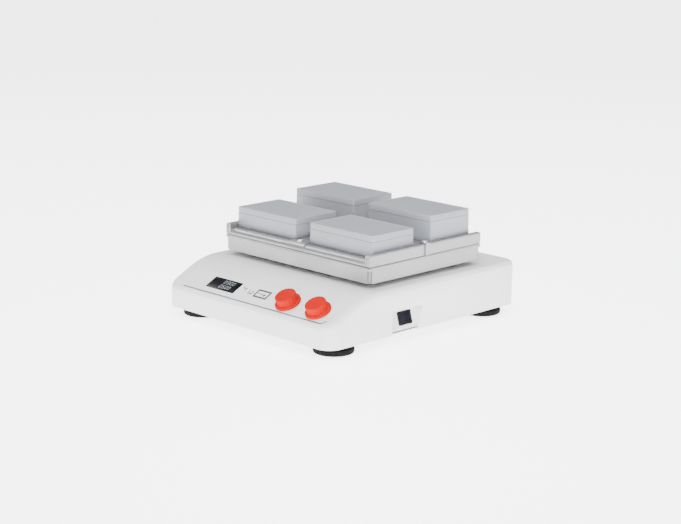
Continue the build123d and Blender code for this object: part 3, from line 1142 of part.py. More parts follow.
# Mains inlet: bezel, body and a keyed socket with three blades
with BuildPart() as mains_inlet:
    with BuildSketch(inlet_plane):
        RectangleRounded(INLET_BEZEL_WIDTH, INLET_BEZEL_HEIGHT, INLET_BEZEL_R)
    extrude(amount=INLET_BEZEL_THICKNESS)
    with BuildSketch(inlet_plane):
        Rectangle(INLET_BODY_WIDTH, INLET_BODY_HEIGHT)
    extrude(amount=-INLET_BODY_DEPTH)
    with BuildSketch(inlet_plane.offset(INLET_BEZEL_THICKNESS)) as socket_outline:
        Rectangle(INLET_CAVITY_WIDTH, INLET_CAVITY_HEIGHT)
        chamfer(socket_outline.vertices().group_by(Axis.Y)[-1], length=INLET_KEY)
    extrude(amount=-INLET_CAVITY_DEPTH, mode=Mode.SUBTRACT)
    with BuildSketch(inlet_plane.offset(-INLET_BODY_DEPTH)):
        with Locations(
            (-INLET_PIN_PITCH, -INLET_PIN_OFFSET), (0, INLET_PIN_OFFSET), (INLET_PIN_PITCH, -INLET_PIN_OFFSET)
        ):
            Rectangle(INLET_PIN_WIDTH + 2 * SEAT_GAP, INLET_PIN_HEIGHT + 2 * SEAT_GAP)
    extrude(amount=INLET_BODY_DEPTH, mode=Mode.SUBTRACT)
mains_inlet.part.label = "mains_inlet"
export_step(mains_inlet.part, "parts/mains_inlet.step")

socket_floor = INLET_BEZEL_THICKNESS - INLET_CAVITY_DEPTH
with BuildPart() as inlet_pins:
    with BuildSketch(inlet_plane.offset(socket_floor + INLET_PIN_LENGTH)):
        with Locations(
            (-INLET_PIN_PITCH, -INLET_PIN_OFFSET), (0, INLET_PIN_OFFSET), (INLET_PIN_PITCH, -INLET_PIN_OFFSET)
        ):
            Rectangle(INLET_PIN_WIDTH, INLET_PIN_HEIGHT)
    extrude(amount=-INLET_BODY_DEPTH - socket_floor - INLET_PIN_LENGTH - INLET_PIN_PITCH)
inlet_pins.part.label = "inlet_pins"
export_step(inlet_pins.part, "parts/inlet_pins.step")
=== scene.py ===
import json
from math import atan2, cos, pi, radians, sin

import bmesh
import bpy
from mathutils import Matrix, Quaternion, Vector


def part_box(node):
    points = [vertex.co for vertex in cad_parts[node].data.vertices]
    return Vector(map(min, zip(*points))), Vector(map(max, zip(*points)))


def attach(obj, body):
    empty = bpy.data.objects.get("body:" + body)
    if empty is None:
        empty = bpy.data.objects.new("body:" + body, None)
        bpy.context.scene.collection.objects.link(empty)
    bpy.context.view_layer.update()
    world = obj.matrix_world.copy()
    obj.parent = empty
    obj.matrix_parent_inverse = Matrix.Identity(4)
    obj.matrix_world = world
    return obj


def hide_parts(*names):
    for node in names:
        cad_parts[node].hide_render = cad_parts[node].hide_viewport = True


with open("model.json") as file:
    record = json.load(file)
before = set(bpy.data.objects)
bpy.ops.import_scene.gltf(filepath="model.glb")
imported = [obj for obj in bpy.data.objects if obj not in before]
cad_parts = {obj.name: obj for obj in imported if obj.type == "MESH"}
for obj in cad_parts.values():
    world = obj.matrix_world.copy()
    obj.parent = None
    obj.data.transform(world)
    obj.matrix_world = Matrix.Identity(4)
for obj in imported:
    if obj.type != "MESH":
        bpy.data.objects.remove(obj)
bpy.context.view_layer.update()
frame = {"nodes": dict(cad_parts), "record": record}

# An orbital microplate shaker: moulded housing, folded platform with four lidded plates, and a console
# with two knobs. Lengths are in metres, in the frame of the CAD model.
MM = 0.001
CORNERS = ("front_left", "front_right", "rear_left", "rear_right")

# The photographed view
CAMERA_PLACE = (1.7455, -1.7505, 0.6658)
CAMERA_AIM = (-0.6882, 0.6878, -0.2311)
CAMERA_ROLL = radians(0.67)
CAMERA_LENS = 89.21

camera_data = bpy.data.cameras.new("camera")
camera_data.sensor_fit = "HORIZONTAL"
camera_data.sensor_width = 36.0
camera_data.lens = CAMERA_LENS
camera = bpy.data.objects.new("camera", camera_data)
bpy.context.scene.collection.objects.link(camera)
aim = Vector(CAMERA_AIM).to_track_quat("-Z", "Y") @ Quaternion((0, 0, 1), CAMERA_ROLL)
camera.matrix_world = Matrix.Translation(CAMERA_PLACE) @ aim.to_matrix().to_4x4()
bpy.context.scene.camera = camera


# Shader maths: a wire is one output socket, and sums on it add Math nodes
class Wire:
    def __init__(self, paint, socket):
        self.paint, self.socket = paint, socket

    def maths(self, operation, first, second):
        return self.paint.node("ShaderNodeMath", {"operation": operation}, {0: first, 1: second})

    def __add__(self, other):
        return self.maths("ADD", self, other)

    def __sub__(self, other):
        return self.maths("SUBTRACT", self, other)

    def __rsub__(self, other):
        return self.maths("SUBTRACT", other, self)

    def __mul__(self, other):
        return self.maths("MULTIPLY", self, other)

    __radd__ = __add__
    __rmul__ = __mul__


# A finish: one material, whose nodes are all added by node()
class Paint:
    def __init__(self, name):
        self.material = bpy.data.materials.new(name)
        self.material.use_nodes = True
        self.tree = self.material.node_tree
        self.tree.nodes.clear()

    def node(self, kind, settings=None, values=None, out=0):
        made = self.tree.nodes.new(kind)
        for key, value in (settings or {}).items():
            setattr(made, key, value)
        for key, value in (values or {}).items():
            if isinstance(value, Wire):
                self.tree.links.new(value.socket, made.inputs[key])
            else:
                made.inputs[key].default_value = value
        return Wire(self, made.outputs[out])

    def place(self, stretch=(1, 1, 1)):
        spot = self.node("ShaderNodeTexCoord", out="Object")
        return self.node("ShaderNodeMapping", {}, {"Vector": spot, "Scale": stretch})

    def noise(self, scale, detail=2.0, stretch=(1, 1, 1)):
        spot = self.place(stretch)
        return self.node("ShaderNodeTexNoise", {}, {"Vector": spot, "Scale": scale, "Detail": detail})

    def ease(self, wire, low, high):
        smooth = {"interpolation_type": "SMOOTHSTEP"}
        return self.node("ShaderNodeMapRange", smooth, {0: wire, 1: low, 2: high})

    def tint(self, mask, first, second):
        colours = {0: mask, 6: (*first, 1), 7: (*second, 1)}
        return self.node("ShaderNodeMix", {"data_type": "RGBA"}, colours, out=2)

    def relief(self, height, depth):
        return self.node("ShaderNodeBump", {}, {"Height": height, "Distance": depth, "Strength": 1.0})

    def done(self, **values):
        sockets = {key.replace("_", " "): value for key, value in values.items()}
        shader = self.node("ShaderNodeBsdfPrincipled", {}, sockets)
        self.node_out(shader)
        return self.material

    def node_out(self, shader):
        made = self.tree.nodes.new("ShaderNodeOutputMaterial")
        self.tree.links.new(shader.socket, made.inputs["Surface"])


def shade(colour, factor):
    return tuple(channel * factor for channel in colour)


# Moulded or coated surface: fine grain, broad clouds of slightly darker colour, uneven gloss
def moulded(name, colour, rough, grain=900.0, depth=0.00002, darker=0.95, **more):
    paint = Paint(name)
    clouds = paint.ease(paint.noise(7.0, 3.0), 0.35, 0.75)
    specks = paint.noise(grain, 3.0)
    return paint.done(
        Base_Color=paint.tint(clouds, colour, shade(colour, darker)),
        Roughness=clouds * 0.08 + specks * 0.06 + (rough - 0.07),
        Normal=paint.relief(specks, depth),
        **more,
    )


# Sheet or turned metal: fine scratches drawn out along one direction over a clouded colour
def brushed(name, colour, rough, metal, stretch, scratch=0.00001, darker=0.86, **more):
    paint = Paint(name)
    lines = paint.noise(60.0, 4.0, stretch)
    clouds = paint.ease(paint.noise(11.0, 2.0), 0.3, 0.8)
    streaks = paint.ease(lines, 0.3, 0.7)
    return paint.done(
        Base_Color=paint.tint(streaks * 0.6 + clouds * 0.4, colour, shade(colour, darker)),
        Roughness=streaks * 0.10 + clouds * 0.05 + (rough - 0.07),
        Metallic=metal,
        Normal=paint.relief(lines, scratch),
        **more,
    )


HOUSING_WHITE = (0.76, 0.76, 0.76)
ALUMINIUM = (0.31, 0.308, 0.315)
finishes = {
    "housing": moulded("housing", HOUSING_WHITE, 0.42, 700.0, 0.000012, 0.965, Coat_Weight=0.15),
    "steel_plate": brushed("steel_plate", (0.24, 0.24, 0.245), 0.45, 0.4, (1, 12, 12)),
    "screw_steel": brushed("screw_steel", (0.62, 0.62, 0.63), 0.28, 1.0, (14, 14, 2)),
    "black_rubber": moulded(
        "black_rubber", (0.006, 0.006, 0.006), 0.85, 1400.0, 0.00003, 0.7, Specular_IOR_Level=0.2,
    ),
    "overlay": moulded("overlay", (0.79, 0.79, 0.80), 0.34, 2200.0, 0.000006, 0.98),
    "display_lens": moulded(
        "display_lens", (0.002, 0.002, 0.0025), 0.30, 300.0, 0.000001, 0.8, Specular_IOR_Level=0.08,
    ),
    "display_block": moulded("display_block", (0.06, 0.06, 0.07), 0.5),
    "circuit_board": moulded("circuit_board", (0.03, 0.17, 0.08), 0.45, 500.0, 0.00004, 0.7),
    "standoff_brass": brushed("standoff_brass", (0.68, 0.50, 0.22), 0.32, 1.0, (14, 14, 2)),
    "encoder_metal": brushed("encoder_metal", (0.60, 0.60, 0.62), 0.34, 1.0, (8, 8, 3)),
    "knob_orange": moulded(
        "knob_orange", (0.46, 0.003, 0.0), 0.55, 1600.0, 0.000012, 0.93, Specular_IOR_Level=0.06,
    ),
    "black_plastic": moulded(
        "black_plastic", (0.003, 0.0035, 0.008), 0.42, 1500.0, 0.00001, 0.75, Specular_IOR_Level=0.15,
    ),
    "blade_brass": brushed("blade_brass", (0.75, 0.60, 0.32), 0.28, 1.0, (3, 14, 14)),
    "supply": moulded("supply", (0.10, 0.14, 0.11), 0.5, 400.0, 0.00004, 0.6),
    "machined_aluminium": brushed("machined_aluminium", (0.66, 0.66, 0.67), 0.33, 1.0, (5, 5, 16)),
    "bearing_steel": brushed("bearing_steel", (0.58, 0.58, 0.60), 0.20, 1.0, (4, 4, 18)),
    "shaft_steel": brushed("shaft_steel", (0.56, 0.56, 0.58), 0.22, 1.0, (4, 4, 18)),
    "lamination": brushed("lamination", (0.33, 0.34, 0.36), 0.45, 0.9, (2, 2, 30)),
    "magnet": brushed("magnet", (0.40, 0.40, 0.42), 0.35, 0.9, (6, 6, 6)),
    "brushed_sheet": brushed("brushed_sheet", ALUMINIUM, 0.36, 0.70, (1, 16, 16)),
    "frosted_plate": moulded(
        "frosted_plate", (0.30, 0.29, 0.315), 0.45, 1100.0, 0.000012, 0.97, Subsurface_Weight=0.15,
    ),
}
sheet_across = brushed("brushed_sheet_across", ALUMINIUM, 0.36, 0.70, (16, 1, 16))
print_grey = moulded("print_grey", (0.040, 0.042, 0.048), 0.5, 2200.0, 0.000004, 0.9)
print_blue = moulded("print_blue", (0.05, 0.10, 0.15), 0.45, 2200.0, 0.000004, 0.85)


def lit(name, colour, strength):
    paint = Paint(name)
    glow = paint.ease(paint.noise(400.0, 1.0), 0.2, 0.8)
    return paint.done(
        Base_Color=(*colour, 1), Roughness=0.4, Emission_Strength=strength,
        Emission_Color=paint.tint(glow, colour, shade(colour, 0.9)),
    )


digit_light = lit("digit_light", (0.34, 0.38, 0.44), 0.12)

# Every CAD node gets the finish of its slot
slot_of = {row["node"]: row["material_slot"] for row in frame["record"]["subparts"]}
body_of = {node: body for body, nodes in frame["record"]["behaviour"]["bodies"].items() for node in nodes}
for node_name, node_object in frame["nodes"].items():
    node_object.data.materials.clear()
    node_object.data.materials.append(finishes[slot_of[node_name]])


# Modelling: a piece is one object, opened in edit mode and shaped by operators
def alone(piece):
    if bpy.context.object and bpy.context.object.mode == "EDIT":
        bpy.ops.object.mode_set(mode="OBJECT")
    bpy.ops.object.select_all(action="DESELECT")
    piece.select_set(True)
    bpy.context.view_layer.objects.active = piece


def block(name, size, centre=(0, 0, 0)):
    bpy.ops.object.select_all(action="DESELECT")
    bpy.ops.mesh.primitive_cube_add(size=1.0, location=centre)
    return opened(name, size)


def rod(name, radius, depth, centre=(0, 0, 0), sides=96):
    bpy.ops.object.select_all(action="DESELECT")
    bpy.ops.mesh.primitive_cylinder_add(vertices=sides, radius=radius, depth=depth, location=centre)
    return opened(name, (1, 1, 1))


def opened(name, size):
    piece = bpy.context.object
    piece.name = piece.data.name = name
    piece.scale = size
    bpy.ops.object.transform_apply(location=True, rotation=True, scale=True)
    bpy.ops.object.mode_set(mode="EDIT")
    return piece


def pick(piece, kind, test):
    """Selects the faces, edges or corners that pass a test on their middle and themselves."""
    bpy.ops.mesh.select_mode(type=kind)
    bpy.ops.mesh.select_all(action="DESELECT")
    form = bmesh.from_edit_mesh(piece.data)
    form.normal_update()
    for item in {"FACE": form.faces, "EDGE": form.edges, "VERT": form.verts}[kind]:
        if kind == "FACE":
            middle = item.calc_center_median()
        else:
            middle = item.co if kind == "VERT" else (item.verts[0].co + item.verts[1].co) / 2
        if test(middle, item):
            item.select_set(True)
    form.select_flush_mode()
    bmesh.update_edit_mesh(piece.data)


def near(a, b, slack=0.00002):
    return abs(a - b) < slack


def level(z):
    return lambda middle, face: near(middle.z, z) and abs(face.normal.z) > 0.9


def rim(z):
    return lambda middle, edge: all(near(v.co.z, z) for v in edge.verts) and len(edge.link_faces) == 2 and (
        abs(edge.link_faces[0].normal.z) > 0.9) != (abs(edge.link_faces[1].normal.z) > 0.9)


def upright(middle, edge):
    first, second = edge.verts
    return near(first.co.x, second.co.x) and near(first.co.y, second.co.y)


def bevel(width, segments=3):
    bpy.ops.mesh.bevel(offset=width, segments=segments, affect="EDGES", profile=0.5, clamp_overlap=True)


def inset(width, depth=0.0, each=False):
    bpy.ops.mesh.inset(thickness=width, depth=depth, use_individual=each, use_even_offset=True)


def edge_round(piece, test, width, segments=3):
    """Bevels the edges that pass a test."""
    pick(piece, "EDGE", test)
    bevel(width, segments)


def pull(x, y, z):
    bpy.ops.mesh.extrude_region_move(TRANSFORM_OT_translate={"value": (x, y, z)})


def swell(factor, centre=(0, 0, 0)):
    bpy.ops.transform.resize(value=factor, center_override=centre)


def step_out(before, after, centre):
    """Turns the chosen rim outwards, from one width and depth to another."""
    pull(0, 0, 0)
    swell((after[0] / before[0], after[1] / before[1], 1), centre)


def round_up(piece, radius, sides=0):
    """Moves the chosen corners on to a circle about the origin, or on to a polygon of that inner radius."""
    form = bmesh.from_edit_mesh(piece.data)
    for corner_point in {v for face in form.faces if face.select for v in face.verts}:
        turn = atan2(corner_point.co.y, corner_point.co.x)
        reach = radius / cos((turn + pi / sides) % (2 * pi / sides) - pi / sides) if sides else radius
        corner_point.co.x, corner_point.co.y = reach * cos(turn), reach * sin(turn)
    bmesh.update_edit_mesh(piece.data)


def close_up(piece, angle=35):
    """Back to object mode, shaded smooth but for the sharp edges."""
    bpy.ops.object.mode_set(mode="OBJECT")
    alone(piece)
    bpy.ops.object.shade_smooth_by_angle(angle=radians(angle))
    return piece


def fit(piece, body, slot, finish, *nodes):
    """Gives a finished piece its finish and the body that it rides on; its slot is not used."""
    piece.data.materials.clear()
    piece.data.materials.append(finish)
    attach(piece, body)
    if nodes:
        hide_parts(*nodes)
    return piece


def twin(piece, name, place):
    """A copy with its own mesh, moved by a matrix."""
    copy = piece.copy()
    copy.data = piece.data.copy()
    copy.name = copy.data.name = name
    bpy.context.scene.collection.objects.link(copy)
    copy.data.transform(place)
    return copy


def joined(pieces, name):
    alone(pieces[0])
    for other in pieces[1:]:
        other.select_set(True)
    bpy.ops.object.join()
    pieces[0].name = pieces[0].data.name = name
    return pieces[0]


MERGE_REACH = 0.002 * MM


def smooth_copy(node, name, angle=25, finish=None):
    """The CAD node's own shape, merged and shaded smooth across its curved faces."""
    piece = twin(frame["nodes"][node], name, Matrix.Identity(4))
    for key in list(piece.keys()):
        del piece[key]
    piece.parent = None
    alone(piece)
    bpy.ops.object.mode_set(mode="EDIT")
    bpy.ops.mesh.select_all(action="SELECT")
    bpy.ops.mesh.remove_doubles(threshold=MERGE_REACH)
    close_up(piece, angle)
    return fit(piece, body_of[node], slot_of[node], finish or finishes[slot_of[node]], node)


# Pieces whose CAD form is right, smoothed
for node, name in (
    ("housing_shell", "housing_moulding"), ("platform_pan", "platform_sheet"),
    ("divider_long_bar", "long_divider"), ("console_overlay", "console_film"),
    ("splash_seals", "splash_rings"), ("switch_housing", "switch_frame"),
    ("mains_inlet", "inlet_body"), ("switch_rocker", "rocker_key"), ("drive_shaft", "crank_shaft"),
    ("motor_rotor", "rotor_bell"), ("foot_screws", "foot_bolts"),
):
    smooth_copy(node, name)
for node, name in (("side_rail_left", "left_rail"), ("side_rail_right", "right_rail")):
    smooth_copy(node, name, finish=sheet_across)
for node, name in (("deck_tray", "deck_sheet"), ("divider_cross_bar", "cross_divider")):
    smooth_copy(node, name)

# Rail ends and the posts behind the corner reliefs of the platform sheet
RAIL_W, RAIL_H, RAIL_SHEET = 9.3 * MM, 15.9 * MM, 1.2 * MM
POST, POST_HEIGHT, POST_SETBACK, POST_LIFT, POST_ROUND = 6.4 * MM, 19.0 * MM, 1.5 * MM, 1.3 * MM, 0.9 * MM
END_LENGTH, END_SETBACK, END_ROOM, END_ROUND = 6.0 * MM, 0.25 * MM, 0.1 * MM, 0.5 * MM
END_SIZE = (RAIL_W - 2 * RAIL_SHEET - END_ROOM, END_LENGTH, RAIL_H - RAIL_SHEET - END_ROOM)
pan_low, pan_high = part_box("platform_pan")
ends, posts = [], []
for side_x, edge_x in ((-1, pan_low.x), (1, pan_high.x)):
    for side_y, edge_y in ((-1, pan_low.y), (1, pan_high.y)):
        end = block("rail_end", END_SIZE, (
            edge_x - side_x * RAIL_W / 2,
            edge_y - side_y * (END_SETBACK + END_LENGTH / 2),
            pan_high.z + END_SIZE[2] / 2,
        ))
        above = pan_high.z + END_SIZE[2] / 3
        edge_round(end, lambda middle, edge: upright(middle, edge) or middle.z > above, END_ROUND, 2)
        ends.append(close_up(end))
        post = block("corner_post", (POST, POST, POST_HEIGHT), (
            edge_x - side_x * (POST_SETBACK + POST / 2),
            edge_y - side_y * (POST_SETBACK + POST / 2),
            pan_low.z + POST_LIFT + POST_HEIGHT / 2,
        ))
        edge_round(post, upright, POST_ROUND)
        posts.append(close_up(post))
fit(joined(ends, "rail_ends"), "platform", "brushed_sheet", finishes["brushed_sheet"])
# The posts take the darker steel finish as painted shade inside the corner reliefs of the sheet.
fit(joined(posts, "corner_posts"), "platform", "steel_plate", finishes["steel_plate"])

# Microplates: a grid of square wells sunk into a skirted body, and a lid over each
WELL_PITCH, WELL_COLUMNS, WELL_ROWS = 18 * MM, 6, 4
WELL_FIELD = (WELL_COLUMNS * WELL_PITCH, WELL_ROWS * WELL_PITCH)
WELL_WALL = 0.9 * MM
WELL_FLOOR = 5.0 * MM
SKIRT = (127.76 * MM, 85.48 * MM)
COLLAR = (124.0 * MM, 81.72 * MM)
BODY = (126.9 * MM, 84.62 * MM)
COLLAR_HEIGHT = 7.7 * MM
SKIRT_HEIGHT = 11.0 * MM
PLATE_SHEET, PLATE_CORNER_R, PLATE_EDGE_R = 0.8 * MM, 1.3 * MM, 0.25 * MM
LID_WALL, LID_ROOM, LID_CORNER_R, LID_EDGE_R = 1.3 * MM, 7.4 * MM, 2.4 * MM, 0.4 * MM
LID_RIM, LID_STEP, LID_RECESS = 1.2 * MM, 0.4 * MM, 0.5 * MM


def microplate(corner):
    low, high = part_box(f"microplate_{corner}")
    centre = (low + high) / 2
    top = high.z
    bpy.ops.object.select_all(action="DESELECT")
    bpy.ops.mesh.primitive_grid_add(
        x_subdivisions=WELL_COLUMNS, y_subdivisions=WELL_ROWS, size=1.0, location=(centre.x, centre.y, top)
    )
    plate = opened(f"plate_{corner}", (*WELL_FIELD, 1))
    plate_centre = (centre.x, centre.y, top)
    pick(plate, "FACE", lambda middle, face: True)
    inset(WELL_WALL, each=True)
    pull(0, 0, low.z + WELL_FLOOR - top)
    pick(plate, "EDGE", lambda middle, edge: len(edge.link_faces) == 1)
    step_out(WELL_FIELD, COLLAR, plate_centre)
    pull(0, 0, -COLLAR_HEIGHT)
    step_out(COLLAR, BODY, plate_centre)
    pull(0, 0, low.z + SKIRT_HEIGHT - top + COLLAR_HEIGHT)
    step_out(BODY, SKIRT, plate_centre)
    pull(0, 0, -SKIRT_HEIGHT)
    reach_x, reach_y = COLLAR[0] / 2 - WELL_WALL, COLLAR[1] / 2 - WELL_WALL
    edge_round(plate, lambda middle, edge: upright(middle, edge)
               and abs(middle.x - centre.x) > reach_x and abs(middle.y - centre.y) > reach_y, PLATE_CORNER_R)
    edge_round(plate, lambda middle, edge: near(middle.z, top)
               and any(abs(face.normal.z) < 0.5 for face in edge.link_faces), PLATE_EDGE_R, 2)
    close_up(plate)
    wall = plate.modifiers.new("wall", "SOLIDIFY")
    wall.thickness = PLATE_SHEET
    wall.offset = -1.0
    wall.use_even_offset = True
    bpy.ops.object.modifier_apply(modifier="wall")
    fit(plate, f"plate_{corner}", "frosted_plate", finishes["frosted_plate"], f"microplate_{corner}")


def lid(corner):
    low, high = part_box(f"lid_{corner}")
    centre, size = (low + high) / 2, high - low
    cap = block(f"cap_{corner}", size, centre)
    edge_round(cap, upright, LID_CORNER_R, 4)
    edge_round(cap, rim(high.z), LID_EDGE_R, 2)
    pick(cap, "FACE", level(high.z))
    inset(LID_RIM)
    inset(LID_STEP, -LID_RECESS)
    pick(cap, "FACE", level(low.z))
    inset(LID_WALL)
    pull(0, 0, LID_ROOM)
    close_up(cap, 40)
    fit(cap, f"plate_lid_{corner}", "frosted_plate", finishes["frosted_plate"], f"lid_{corner}")


for corner in CORNERS:
    microplate(corner)
    lid(corner)

# Feet: rubber pucks with a rounded edge, a groove, a neck and a dished sole
FOOT_R, FOOT_HEIGHT, NECK_R, NECK_HEIGHT = 29.5 * MM, 9.0 * MM, 23.0 * MM, 6.5 * MM
FOOT_ROUND, SOLE_RING, SOLE_DISH = 3.0 * MM, 9.5 * MM, 2.5 * MM
GROOVE_MARGIN, GROOVE_SLANT, GROOVE_DEPTH = 1.1 * MM, 0.25 * MM, 0.35 * MM
for corner in CORNERS:
    low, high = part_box(f"foot_{corner}")
    centre = (low + high) / 2
    foot = rod(f"puck_{corner}", FOOT_R, FOOT_HEIGHT, (centre.x, centre.y, FOOT_HEIGHT / 2))
    both_rims = (rim(0), rim(FOOT_HEIGHT))
    edge_round(foot, lambda middle, edge: any(test(middle, edge) for test in both_rims), FOOT_ROUND, 5)
    pick(foot, "FACE", level(FOOT_HEIGHT))
    inset(FOOT_R - FOOT_ROUND - NECK_R)
    pull(0, 0, NECK_HEIGHT)
    pick(foot, "FACE", level(0))
    inset(SOLE_RING)
    inset(SOLE_DISH, -SOLE_DISH)
    pick(foot, "FACE", lambda middle, face: near(middle.z, FOOT_HEIGHT / 2, 0.5 * MM)
         and abs(face.normal.z) < 0.3)
    inset(GROOVE_MARGIN)
    inset(GROOVE_SLANT, -GROOVE_DEPTH)
    close_up(foot)
    fit(foot, "base", "black_rubber", finishes["black_rubber"], f"foot_{corner}")

# Dome screws with hexagon sockets, one near each end of the long bar and one on each rail
SCREW_R, SCREW_HEIGHT, SCREW_DOME = 4.5 * MM, 3.0 * MM, 2.2 * MM
SOCKET_RIM, SOCKET_R, SOCKET_DEPTH = 0.35 * MM, 1.5 * MM, 1.8 * MM
BAR_SCREW_REACH, RAIL_SCREW_REACH = 108 * MM, 147.6 * MM
screw = rod("dome_screws", SCREW_R, SCREW_HEIGHT, (0, 0, SCREW_HEIGHT / 2), 48)
edge_round(screw, rim(SCREW_HEIGHT), SCREW_DOME, 6)
pick(screw, "FACE", level(SCREW_HEIGHT))
inset(SOCKET_RIM)
round_up(screw, SOCKET_R, 6)
pull(0, 0, -SOCKET_DEPTH)
close_up(screw, 30)
pan_mid = (pan_low + pan_high) / 2
bar_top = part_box("divider_long_bar")[1].z
tongue_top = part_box("divider_cross_bar")[1].z
screw_places = [(pan_mid.x, pan_mid.y + reach, bar_top) for reach in (BAR_SCREW_REACH, -BAR_SCREW_REACH)]
screw_places += [(pan_mid.x + reach, pan_mid.y, tongue_top) for reach in (RAIL_SCREW_REACH, -RAIL_SCREW_REACH)]
screws = [twin(screw, f"dome_screw_{n}", Matrix.Translation(place)) for n, place in enumerate(screw_places)]
bpy.data.objects.remove(screw)
fit(joined(screws, "dome_screws"), "platform", "screw_steel", finishes["screw_steel"], "divider_screws")

# Console: everything on it is made flat, x across and y up the slope, and then tilted on to it
SLOPE = radians(27.0)
SLOPE_FOOT = (0, -201 * MM, 45.6 * MM)
console = Matrix.Translation(SLOPE_FOOT) @ Matrix.Rotation(SLOPE, 4, "X")
FILM_TOP = 0.4 * MM
GLASS_TOP = 0.9 * MM
PRINT = 0.03 * MM


def on_console(piece, x, s, lift=0.0):
    piece.data.transform(console @ Matrix.Translation((x, s, lift)))
    return piece


# Knobs: a broad skirt and a fluted grip with a dished top
KNOB_S, KNOB_LIFT = 28.5 * MM, 1.3 * MM
SKIRT_R, KNOB_SKIRT_HEIGHT, GRIP_R, GRIP_HEIGHT = 19.2 * MM, 3.9 * MM, 15.7 * MM, 10.5 * MM
SKIRT_ROUND, GRIP_ROOT, GRIP_ROUND = 1.6 * MM, 0.5 * MM, 1.2 * MM
TOP_MARGIN, DISH_STEP, DISH_MARGINS = 3.2 * MM, 0.22 * MM, (4.4 * MM, 6.4 * MM, 9.4 * MM)
BORE_R, BORE_DEPTH = 10 * MM, 3.5 * MM
FLUTE_COUNT, FLUTE_STEPS, FLUTE_DEPTH, FLUTE_FLANK = 18, 8, 0.5 * MM, 0.62
KNOB_SIDES = FLUTE_COUNT * FLUTE_STEPS
KNOB_TOP = KNOB_SKIRT_HEIGHT + GRIP_HEIGHT
for knob_name, knob_x in (("timer", 67.2 * MM), ("speed", 128.1 * MM)):
    knob = rod(f"{knob_name}_dial_cap", SKIRT_R, KNOB_SKIRT_HEIGHT, (0, 0, KNOB_SKIRT_HEIGHT / 2), KNOB_SIDES)
    edge_round(knob, rim(KNOB_SKIRT_HEIGHT), SKIRT_ROUND, 4)
    pick(knob, "FACE", level(KNOB_SKIRT_HEIGHT))
    inset(SKIRT_R - SKIRT_ROUND - GRIP_R - GRIP_ROOT)
    inset(GRIP_ROOT, GRIP_ROOT)
    pull(0, 0, GRIP_HEIGHT - GRIP_ROOT)
    for steps, depth in (((0,), FLUTE_DEPTH), ((1, FLUTE_STEPS - 1), FLUTE_DEPTH * FLUTE_FLANK)):
        def in_flute(middle, corner_point):
            turn = round(atan2(middle.y, middle.x) / (2 * pi) * KNOB_SIDES) % FLUTE_STEPS
            return turn in steps and near(Vector(middle[:2]).length, GRIP_R, 0.1 * MM)
        pick(knob, "VERT", in_flute)
        swell((1 - depth / GRIP_R, 1 - depth / GRIP_R, 1))
    edge_round(knob, rim(KNOB_TOP), GRIP_ROUND)
    pick(knob, "FACE", level(KNOB_TOP))
    pull(0, 0, 0)
    round_up(knob, GRIP_R - TOP_MARGIN)
    for margin in DISH_MARGINS:
        pull(0, 0, -DISH_STEP)
        round_up(knob, GRIP_R - margin)
    pick(knob, "FACE", level(0))
    inset(SKIRT_R - BORE_R)
    pull(0, 0, BORE_DEPTH)
    close_up(knob, 30)
    on_console(knob, knob_x, KNOB_S, KNOB_LIFT)
    fit(knob, f"{knob_name}_dial", "knob_orange", finishes["knob_orange"], f"{knob_name}_knob")

# Display window with two rows of digits right of its middle
WINDOW_X, WINDOW_S, WINDOW_W, WINDOW_H = -71.4 * MM, 29.8 * MM, 60 * MM, 24 * MM
WINDOW_CORNER_R, WINDOW_EDGE_R = 0.8 * MM, 0.25 * MM
window = block("display_glass", (WINDOW_W, WINDOW_H, GLASS_TOP), (0, 0, GLASS_TOP / 2))
edge_round(window, upright, WINDOW_CORNER_R)
edge_round(window, rim(GLASS_TOP), WINDOW_EDGE_R, 2)
close_up(window)
on_console(window, WINDOW_X, WINDOW_S)
fit(window, "base", "display_lens", finishes["display_lens"], "display_window")

SEGMENTS = {"0": "abcdef", "3": "abcdg", "5": "acdfg"}
DIGIT_W, DIGIT_H, STROKE, DIGIT_PITCH, DIGIT_LEAN = 3.4 * MM, 6.2 * MM, 0.6 * MM, 6.1 * MM, 0.12
DIGIT_ROWS = (("0300", 35.0 * MM, -73.5 * MM), ("0500", 25.2 * MM, -75.0 * MM))
bar = block("segment", (DIGIT_W - 0.5 * STROKE, STROKE, 2 * PRINT))
edge_round(bar, upright, STROKE * 0.45, 1)
close_up(bar)
half_w, half_h = DIGIT_W / 2, DIGIT_H / 2
segment_places = {
    "a": (0, half_h, 0), "g": (0, 0, 0), "d": (0, -half_h, 0),
    "b": (half_w, half_h / 2, 90), "c": (half_w, -half_h / 2, 90),
    "e": (-half_w, -half_h / 2, 90), "f": (-half_w, half_h / 2, 90),
}
lit_bars = []
for text, row_s, start_x in DIGIT_ROWS:
    for place_index, figure in enumerate(text):
        for key in SEGMENTS[figure]:
            across, up, turned = segment_places[key]
            along = start_x + place_index * DIGIT_PITCH + DIGIT_LEAN * up + across
            spot = Matrix.Translation((along, row_s + up, GLASS_TOP))
            lit_bars.append(twin(bar, "lit", console @ spot @ Matrix.Rotation(radians(turned), 4, "Z")))
bpy.data.objects.remove(bar)
fit(joined(lit_bars, "display_digits"), "base", "display_lens", digit_light)

# Prints on the console film: the line along its lower edge, a framed field and small marks beside it
LINE_LENGTH, LINE_WIDTH, LINE_TURN_R, LINE_TURN = 288 * MM, 2.2 * MM, 9 * MM, radians(-80)
LINE_X, LINE_S = 3.0 * MM, 7.6 * MM
line = block("film_line", (LINE_LENGTH, LINE_WIDTH, PRINT))
pick(line, "FACE", lambda middle, face: face.normal.x > 0.9)
bpy.ops.mesh.spin(steps=8, angle=LINE_TURN, center=(LINE_LENGTH / 2, LINE_TURN_R, 0), axis=(0, 0, 1))
close_up(line)
on_console(line, LINE_X, LINE_S, FILM_TOP + PRINT / 2)
fit(line, "base", "overlay", print_blue)


